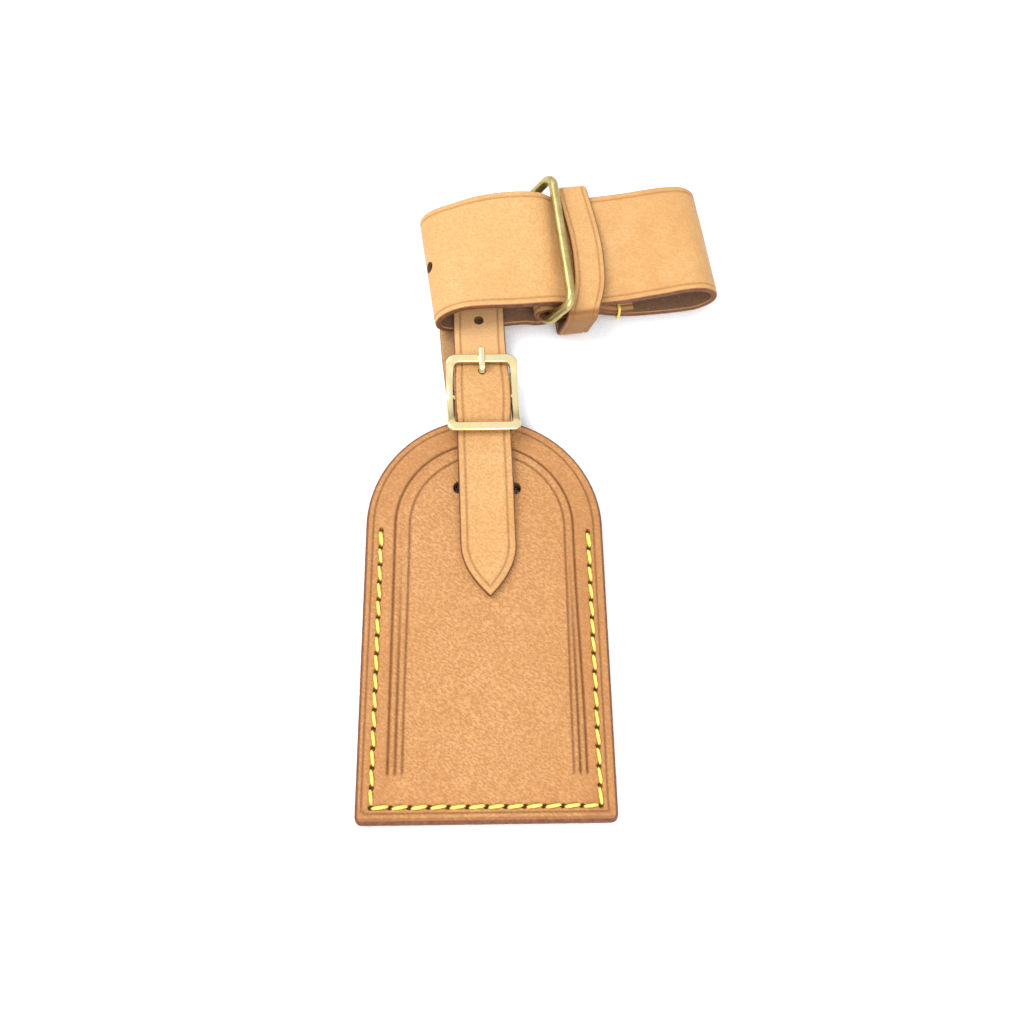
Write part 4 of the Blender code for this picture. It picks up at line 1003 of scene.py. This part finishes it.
def hole_depth(x, y):
    """How deep inside a stitch hole each point is, 0 outside and 1 at its middle, and the dimple round it."""
    deep, near = np.zeros_like(x), np.zeros_like(x)
    s, c = math.sin(SLIT_SLANT), math.cos(SLIT_SLANT)
    for (hx, hy), (wx, wy) in zip(*seam_holes()):
        dx, dy = x - hx, y - hy
        close = (np.abs(dx) < 3) & (np.abs(dy) < 3)
        if not close.any():
            continue
        # a runs across the seam and b along it; the awl's slit leans between them.
        a = dx * -wy + dy * wx
        b = -(dx * wx + dy * wy)
        across, length = a * c + b * s, b * c - a * s
        rho = np.hypot(across / HOLE_HALF[0], length / HOLE_HALF[1])
        deep = np.where(close, np.maximum(deep, ease(1.0, 0.6, rho)), deep)
        near = np.where(close, np.maximum(near, dip(rho, 1.8)), near)
    return deep, near


def seam_trough(x, y):
    """1 along the stitches' line, fading to the sides and past its two ends."""
    top = SEAM_Y + SEAM_PITCH * SEAM_SIDE
    left, right = row_x(SEAM_LEFT, y), row_x(SEAM_RIGHT, y)
    side = np.maximum(dip(x - left, 0.75), dip(x - right, 0.75))
    side = side * ease(SEAM_Y - 0.6, SEAM_Y, y) * ease(top + 0.9, top, y)
    first, last = SEAM_LEFT[0], SEAM_RIGHT[0]
    floor = dip(y - SEAM_Y, 0.75) * ease(first - 0.6, first, x) * ease(last + 0.6, last, x)
    return np.maximum(side, floor)


def side_inset(x, y):
    """Distance from the tag's side or arch, ignoring its bottom edge."""
    centre = TAG_H - TAG_W / 2
    straight = TAG_W / 2 + TAG_FLARE * (1 - y / centre) - np.abs(x)
    return np.where(y > centre, TAG_W / 2 - np.hypot(x, y - centre), straight)


def crease_at(x, y, inset):
    """The edge crease's distance from the edge: closer on the left side, widest on the right."""
    share = ease(-26, 26, x)
    left = 1.6 + 0.45 * ease(5, 78, y)
    side = left * (1 - share) + 2.5 * share
    bottom = ease(1.6, 0.2, y - inset)
    return side * (1 - bottom) + 2.3 * bottom


def mould_lines(x, y):
    """The three moulded lines' distances from the tag's side: they are not quite parallel to it."""
    up, right = ease(20, 70, y), ease(-12, 12, x)
    outer = 0.45 * (1 - right) + up * (0.1 + 0.7 * right)
    inner = 0.45 * (1 - right) - 0.3 * right + up * (0.35 - 0.55 * right)
    return MOULD_LINES[0] + outer, MOULD_LINES[1] + (outer + inner) / 2, MOULD_LINES[2] + inner


def front_face(x, y, inset):
    """Height and marks of the front panel's grain face."""
    edge_line = crease_at(x, y, inset)
    crease = dip(inset - edge_line, 0.26)
    side = side_inset(x, y)
    at = mould_lines(x, y)
    outer, middle, inner = (dip(side - line, width) for line, width in zip(at, (0.32, 0.32, 0.3)))
    open_end = ease(MOULD_END_Y - 0.5, MOULD_END_Y + 0.7, y)
    # The middle line, and the ridge inside it, fade out up the tag.
    low_down = ease(80, 30, y)
    ridges = dip(side - (at[0] + at[1]) / 2, 0.62) * 0.17
    ridges = ridges + dip(side - (at[1] + at[2]) / 2, 0.62) * (0.07 + 0.12 * low_down)
    mould = -0.38 * outer - 0.26 * inner - 0.3 * middle * low_down + ridges
    mould = mould + 0.07 * dip(side - at[0] + 0.95, 0.7) + 0.06 * dip(side - at[2] - 0.9, 0.6)
    deep, near = hole_depth(x, y)
    rise = -0.22 * crease + mould * open_end - 1.1 * deep - 0.12 * near - 0.1 * seam_trough(x, y)
    rise = rise - 0.14 * np.exp(-inset / 0.6) + 0.05 * dip(inset - edge_line - 0.8, 0.6)
    groove = 0.7 * crease + (0.9 * outer + 0.75 * inner + 0.9 * middle * low_down) * open_end
    age = 0.66 * ease(13, 6.6, side) + 0.25 * ease(0.9, 0, inset) + 0.2 * ease(12, 4, y)
    # The stitch holes' pit mark is painted shade.
    marks = {"groove": np.clip(groove, 0, 1), "pit": ease(0.02, 0.4, deep), "age": np.clip(age, 0, 1)}
    # The bottom edge's burnish reaches onto the face.
    marks["edge"] = 0.6 * ease(1.5, 0.85, y)
    return TAG_T + rise, marks


def pocket_floor(x, y, inset):
    """Height of the front panel's flesh face, hollowed for the card."""
    hollow = ease(POCKET_HALF + 0.6, POCKET_HALF - 0.6, np.abs(x))
    hollow = hollow * ease(POCKET_BOTTOM - 0.6, POCKET_BOTTOM + 0.6, y)
    return FRONT_LOW + POCKET_DEPTH * hollow, {"flesh": np.ones_like(x)}


def back_inner(x, y, inset):
    return BACK_T + np.zeros_like(x), {"flesh": np.ones_like(x)}


def back_face(x, y, inset):
    """Height and marks of the back panel's grain face, which looks down, with its sunk row of stitches."""
    trough = np.clip(seam_trough(x, y) * 2.4, 0, 1)
    deep, _ = hole_depth(x, y)
    crease = dip(inset - 1.9, 0.2)
    rise = SEAM_FLOOR * ease(0.25, 0.95, trough) + 0.2 * crease + 0.12 * np.exp(-inset / 0.6)
    groove = 0.5 * ease(0.2, 0.6, trough) + 0.6 * crease
    # The stitch holes' pit mark is painted shade.
    marks = {"groove": np.clip(groove, 0, 1), "pit": 0.8 * ease(0.02, 0.5, deep)}
    marks["age"] = 0.8 * ease(13, 5, inset)
    return rise + 0.2 * deep, marks


EDGE_ROUND, INNER_ROUND, FOOT_BULGE = 0.75, 0.12, 0.45
HOLE_HALF = (0.66, 0.78)  # half sizes of a stitch hole across and along the seam
SLIT_SLANT = math.radians(24)
STITCH_LEAN = 0.36
# Distances from the edge of a panel's rings of points, closest where lines are pressed into its grain face.
FACE_INSETS = (0.88, 1.05, *np.arange(1.22, 5.0, 0.14), 5.3, 5.8, 6.2, 6.5, 6.75)
FACE_INSETS += (*np.arange(6.95, 12.3, 0.15), 12.7, 13.3)
INNER_INSETS = (0.6, 2.0, 5.0, 6.4, 7.0, 7.3, 7.6, 7.9, 8.6, 13.0)
# How the slot's rim rolls in from a face: distance outside its wall and depth below the face.
SLOT_RIM = ((0.75, 0.0), (0.5, 0.02), (0.3, 0.07), (0.14, 0.18), (0.04, 0.32), (0.0, 0.5))


def slot_ring(grow):
    """The slot's outline grown outwards, clockwise as seen from the front."""
    t = np.linspace(-math.pi / 2, math.pi / 2, 21)
    r = SLOT_R + grow
    right = np.stack([SLOT_X + SLOT_HALF + r * np.cos(t), SLOT_Y + r * np.sin(t)], axis=1)
    straight = np.linspace(0, 1, 26)[1:-1, None]
    top = right[-1] + straight * np.array([-2 * SLOT_HALF, 0])
    left = np.stack([SLOT_X - SLOT_HALF - r * np.cos(t), SLOT_Y - r * np.sin(t)], axis=1)
    bottom = left[-1] + straight * np.array([2 * SLOT_HALF, 0])
    return np.vstack([right, top, left, bottom])


def bulged(points, share):
    """The burnished bottom edge swells out past its cut line."""
    swell = FOOT_BULGE * share * ease(1.4, 0.3, points[:, 1])
    return points - np.stack([np.zeros(len(points)), swell], axis=1)


def build_panel(name, faces, rounds, insets, flesh, node):
    """A closed panel: the upper face's rings, the edge, the lower face's rings, the slot and flat middles.

    faces, rounds, insets and flesh each hold the upper face's value and the lower one's.
    """
    (top_face, low_face), (top_round, low_round) = faces, rounds
    verts, marks = [], {k: [] for k in ("groove", "pit", "age", "edge", "flesh")}

    def add_ring(points, heights, found):
        count = sum(len(v) for v in verts)
        verts.append(tag_point(points[:, 0], points[:, 1], heights))
        for key in marks:
            marks[key].append(np.broadcast_to(np.asarray(found.get(key, 0.0), float), (len(points),)))
        return np.arange(count, count + len(points))

    def face_ring(face, inset):
        points = tag_ring(inset)
        return points, *face(points[:, 0], points[:, 1], np.full(len(points), float(inset)))

    chain = [add_ring(*face_ring(top_face, inset)) for inset in reversed(insets[0])]
    for k in range(6):
        a = math.pi / 2 * k / 5
        inset, drop = top_round * (1 - math.sin(a)), top_round * (1 - math.cos(a))
        points, high, found = face_ring(top_face, max(inset, 0.0))
        found = {**found, "edge": float(ease(-0.8, 1.3, k))}
        chain.append(add_ring(bulged(points, math.sin(a)), high - drop, found))
    for k in range(6):
        a = math.pi / 2 * k / 5
        inset, climb = low_round * (1 - math.cos(a)), low_round * (1 - math.sin(a))
        points, high, found = face_ring(low_face, inset)
        found = {**found, "edge": 1.0 - 0.9 * float(ease(2, 5, k)), "flesh": 0.0}
        chain.append(add_ring(bulged(points, math.cos(a)), high + climb, found))
    chain += [add_ring(*face_ring(low_face, inset)) for inset in insets[1]]
    # The slot: its rims roll in from both faces to the wall between them.
    slot_chain = []
    for face, way, raw, rim in zip(faces, (-1, 1), flesh, (SLOT_RIM, SLOT_RIM[::-1])):
        level = float(face(np.zeros(1), np.full(1, 60.0), np.full(1, 30.0))[0][0])
        for grow, drop in rim:
            found = {"edge": float(ease(0.3, 0.05, grow)) * 0.9, "flesh": raw}
            slot_chain.append(add_ring(slot_ring(grow), level + way * drop, found))
    quads = []
    for rings, flip in ((chain, False), (slot_chain, True)):
        for a, b in zip(rings, rings[1:]):
            a, b = (b, a) if flip else (a, b)
            quads += np.stack([a, np.roll(a, -1), np.roll(b, -1), b], axis=1).tolist()
    points = np.vstack(verts)
    for end, up in ((0, True), (-1, False)):
        quads += fill_between(points, chain[end].tolist(), slot_chain[end].tolist(), up)
    marks = {k: np.concatenate(v) for k, v in marks.items()}
    settle(make(name, points, quads, TAG_LEATHER, marks, smooth=48), "tag", node)


def fill_between(verts, outline, hole, up):
    """Triangles of the flat middle of a face, between its innermost ring and the slot."""
    work = bmesh.new()
    made = {}
    for index in outline + hole:
        made[index] = work.verts.new((*verts[index][:2], 0.0))
    for loop in (outline, hole):
        for a, b in zip(loop, loop[1:] + loop[:1]):
            work.edges.new((made[a], made[b]))
    bmesh.ops.triangle_fill(work, use_beauty=True, use_dissolve=False, edges=work.edges[:], normal=(0, 0, 1))
    back = {vert: index for index, vert in made.items()}
    found = []
    for face in work.faces:
        ids = [back[v] for v in face.verts]
        a, b, c = (verts[i][:2] for i in ids)
        area = (b[0] - a[0]) * (c[1] - a[1]) - (b[1] - a[1]) * (c[0] - a[0])
        found.append(ids if (area > 0) == up else ids[::-1])
    work.free()
    return found


# A stitch from its hole to its middle: distance from the hole, height against the tag's face above and
# against the thread's run below, how far down the hole it is (which paints shade on it), and how full
# the thread is.
STITCH = (
    (0.4, -1.3, 1.3, 1.0, 0.0),
    (0.58, -0.5, 0.6, 0.75, 0.1),
    (0.88, 0.08, 0.14, 0.0, 0.4),
    (1.35, 0.26, 0.02, 0.0, 0.85),
    (None, 0.3, 0.0, 0.0, 1.0),
)


def saddle_thread(first):
    """One thread of the saddle stitch: over one interval, sunk in the back of the next, through every hole.

    Rows of (x, y, height, how far down a hole it is, how full it is).
    """
    holes, way = seam_holes()
    left = np.stack([-way[:, 1], way[:, 0]], axis=1)
    path = []
    over = first == 0
    low = SEAM_FLOOR - 0.46
    for i in range(len(holes) - 1):
        lean = STITCH_LEAN * (-1 if over else 1) + 0.06 * wobble(first * 3.0 + 1.0, i * 1.3)
        a, b = holes[i] + left[i] * lean, holes[i + 1] - left[i + 1] * lean
        step = (b - a) / np.linalg.norm(b - a)
        # The row's first and last stitches are doubled.
        double = 1.7 if i in (0, len(holes) - 2) else 1.0
        for k, (reach, rise, sink, dark, full) in enumerate(STITCH + STITCH[-2::-1]):
            if reach is None:
                spot = (a + b) / 2
            else:
                spot = a + step * reach if k < len(STITCH) else b - step * reach
            path.append((*spot, TAG_T + rise if over else low + sink, dark, full * double))
        over = not over
    return np.array(path)


def build_seam():
    for first, name in ((0, "thread_one"), (1, "thread_two")):
        smooth = evenly(spline(saddle_thread(first), 0.2), 0.2)
        points = tag_point(smooth[:, 0], smooth[:, 1], smooth[:, 2])
        radius = SEAM_THREAD_R + 0.15 * np.clip(smooth[:, 4], 0, 2)
        # Painted shade on the thread where it goes down into a hole.
        marks = {"sunk": np.repeat(np.clip(smooth[:, 3], 0, 1), THREAD_SIDES)}
        thread = thread_along(f"{name}_stitches", points, radius, twist=1.1, flat=0.9, marks=marks)
        settle(thread, "tag", name)


def build_card():
    """A blank address card with round corners."""
    loop = rounded_loop(CARD_W / 2, CARD_H / 2, 2.0, 6, 4.0)
    low = BACK_T + (PANEL_GAP + POCKET_DEPTH - CARD_T) / 2
    rings = []
    for shrink, n in ((0.06, low), (0.0, low + 0.06), (0.0, low + CARD_T - 0.06), (0.06, low + CARD_T)):
        scale = np.array([1 - 2 * shrink / CARD_W, 1 - 2 * shrink / CARD_H])
        points = loop * scale
        rings.append(tag_point(points[:, 0], CARD_Y + CARD_H / 2 + points[:, 1], n))
    size = len(loop)
    faces = grid_faces(len(rings), size) + end_faces(len(rings), size)
    card = make("address_card_paper", np.vstack(rings), faces, CARD_STOCK, smooth=40)
    settle(card, "card", "address_card")


# ---- stage ----
FLOOR_HALF = 3.0  # metres
# The studio's white tent: brightness by how far up it is, dimmer at its foot, which outlines the metal.
TENT = {"From Min": 0.02, "From Max": 0.4, "To Min": 0.5, "To Max": 1.26}
TENT_COLOUR = (0.97, 0.985, 1.0, 1.0)
LAMPS = (  # name, place and size in metres, watts, colour
    ("key", (-0.4, 0.22, 0.62), 0.5, 4.6, (1.0, 0.985, 0.96)),
    ("fill", (0.06, -0.52, 0.4), 0.45, 2.6, (1.0, 1.0, 1.0)),
)


def build_floor():
    corners = [(x * FLOOR_HALF, y * FLOOR_HALF, 0) for x, y in ((-1, -1), (1, -1), (1, 1), (-1, 1))]
    floor = bpy.data.meshes.new("floor")
    floor.from_pydata(corners, [], [(0, 1, 2, 3)])
    floor.materials.append(table_cloth())
    obj = bpy.data.objects.new("floor", floor)
    bpy.context.scene.collection.objects.link(obj)


def build_tent():
    world = bpy.data.worlds.new("studio")
    bpy.context.scene.world = world
    world.use_nodes = True
    tree = world.node_tree
    direction = tree.nodes.new("ShaderNodeTexCoord")
    split = tree.nodes.new("ShaderNodeSeparateXYZ")
    ramp = tree.nodes.new("ShaderNodeMapRange")
    tree.links.new(direction.outputs["Generated"], split.inputs[0])
    tree.links.new(split.outputs["Z"], ramp.inputs["Value"])
    for key, value in TENT.items():
        ramp.inputs[key].default_value = value
    tree.links.new(ramp.outputs["Result"], tree.nodes["Background"].inputs["Strength"])
    tree.nodes["Background"].inputs["Color"].default_value = TENT_COLOUR


def build_lamps():
    for name, place, size, watts, colour in LAMPS:
        light = bpy.data.lights.new(name, "AREA")
        light.shape, light.size, light.energy, light.color = "DISK", size, watts, colour
        obj = bpy.data.objects.new(name, light)
        obj.location = place
        obj.rotation_euler = (-Vector(place)).to_track_quat("-Z", "Y").to_euler()
        bpy.context.scene.collection.objects.link(obj)


CAMERA_AT = (-12.76, -20.09, 269.12)  # in the tag's own frame
CAMERA_TURN = (21.202, -3.979, -1.04)  # degrees


def build_camera():
    """The main view: nearly from above, from the tag's lower left."""
    camera = bpy.data.objects.new("camera", bpy.data.cameras.new("camera"))
    camera.data.sensor_width = 36.0
    camera.data.lens = 36.0
    camera.data.clip_start = 0.01
    camera.location = Vector(np.array(CAMERA_AT) * MM + ORIGIN)
    camera.rotation_euler = [math.radians(a) for a in CAMERA_TURN]
    bpy.context.scene.collection.objects.link(camera)
    bpy.context.scene.camera = camera


def main():
    build_camera()
    build_floor()
    build_tent()
    build_lamps()
    bpy.context.scene.view_settings.view_transform = "Standard"
    rounds, insets = (EDGE_ROUND, INNER_ROUND), (FACE_INSETS, INNER_INSETS)
    front, back = (front_face, pocket_floor), (back_inner, back_face)
    build_panel("front_panel_leather", front, rounds, insets, (0.0, 1.0), "front_panel")
    build_panel("back_panel_leather", back, rounds[::-1], insets[::-1], (1.0, 0.0), "back_panel")
    build_card()
    build_seam()
    build_strap()
    build_strap_thread()
    build_buckle()
    build_prong()
    build_band()
    build_band_thread()
    build_ring()
    build_keeper()
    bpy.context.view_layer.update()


main()
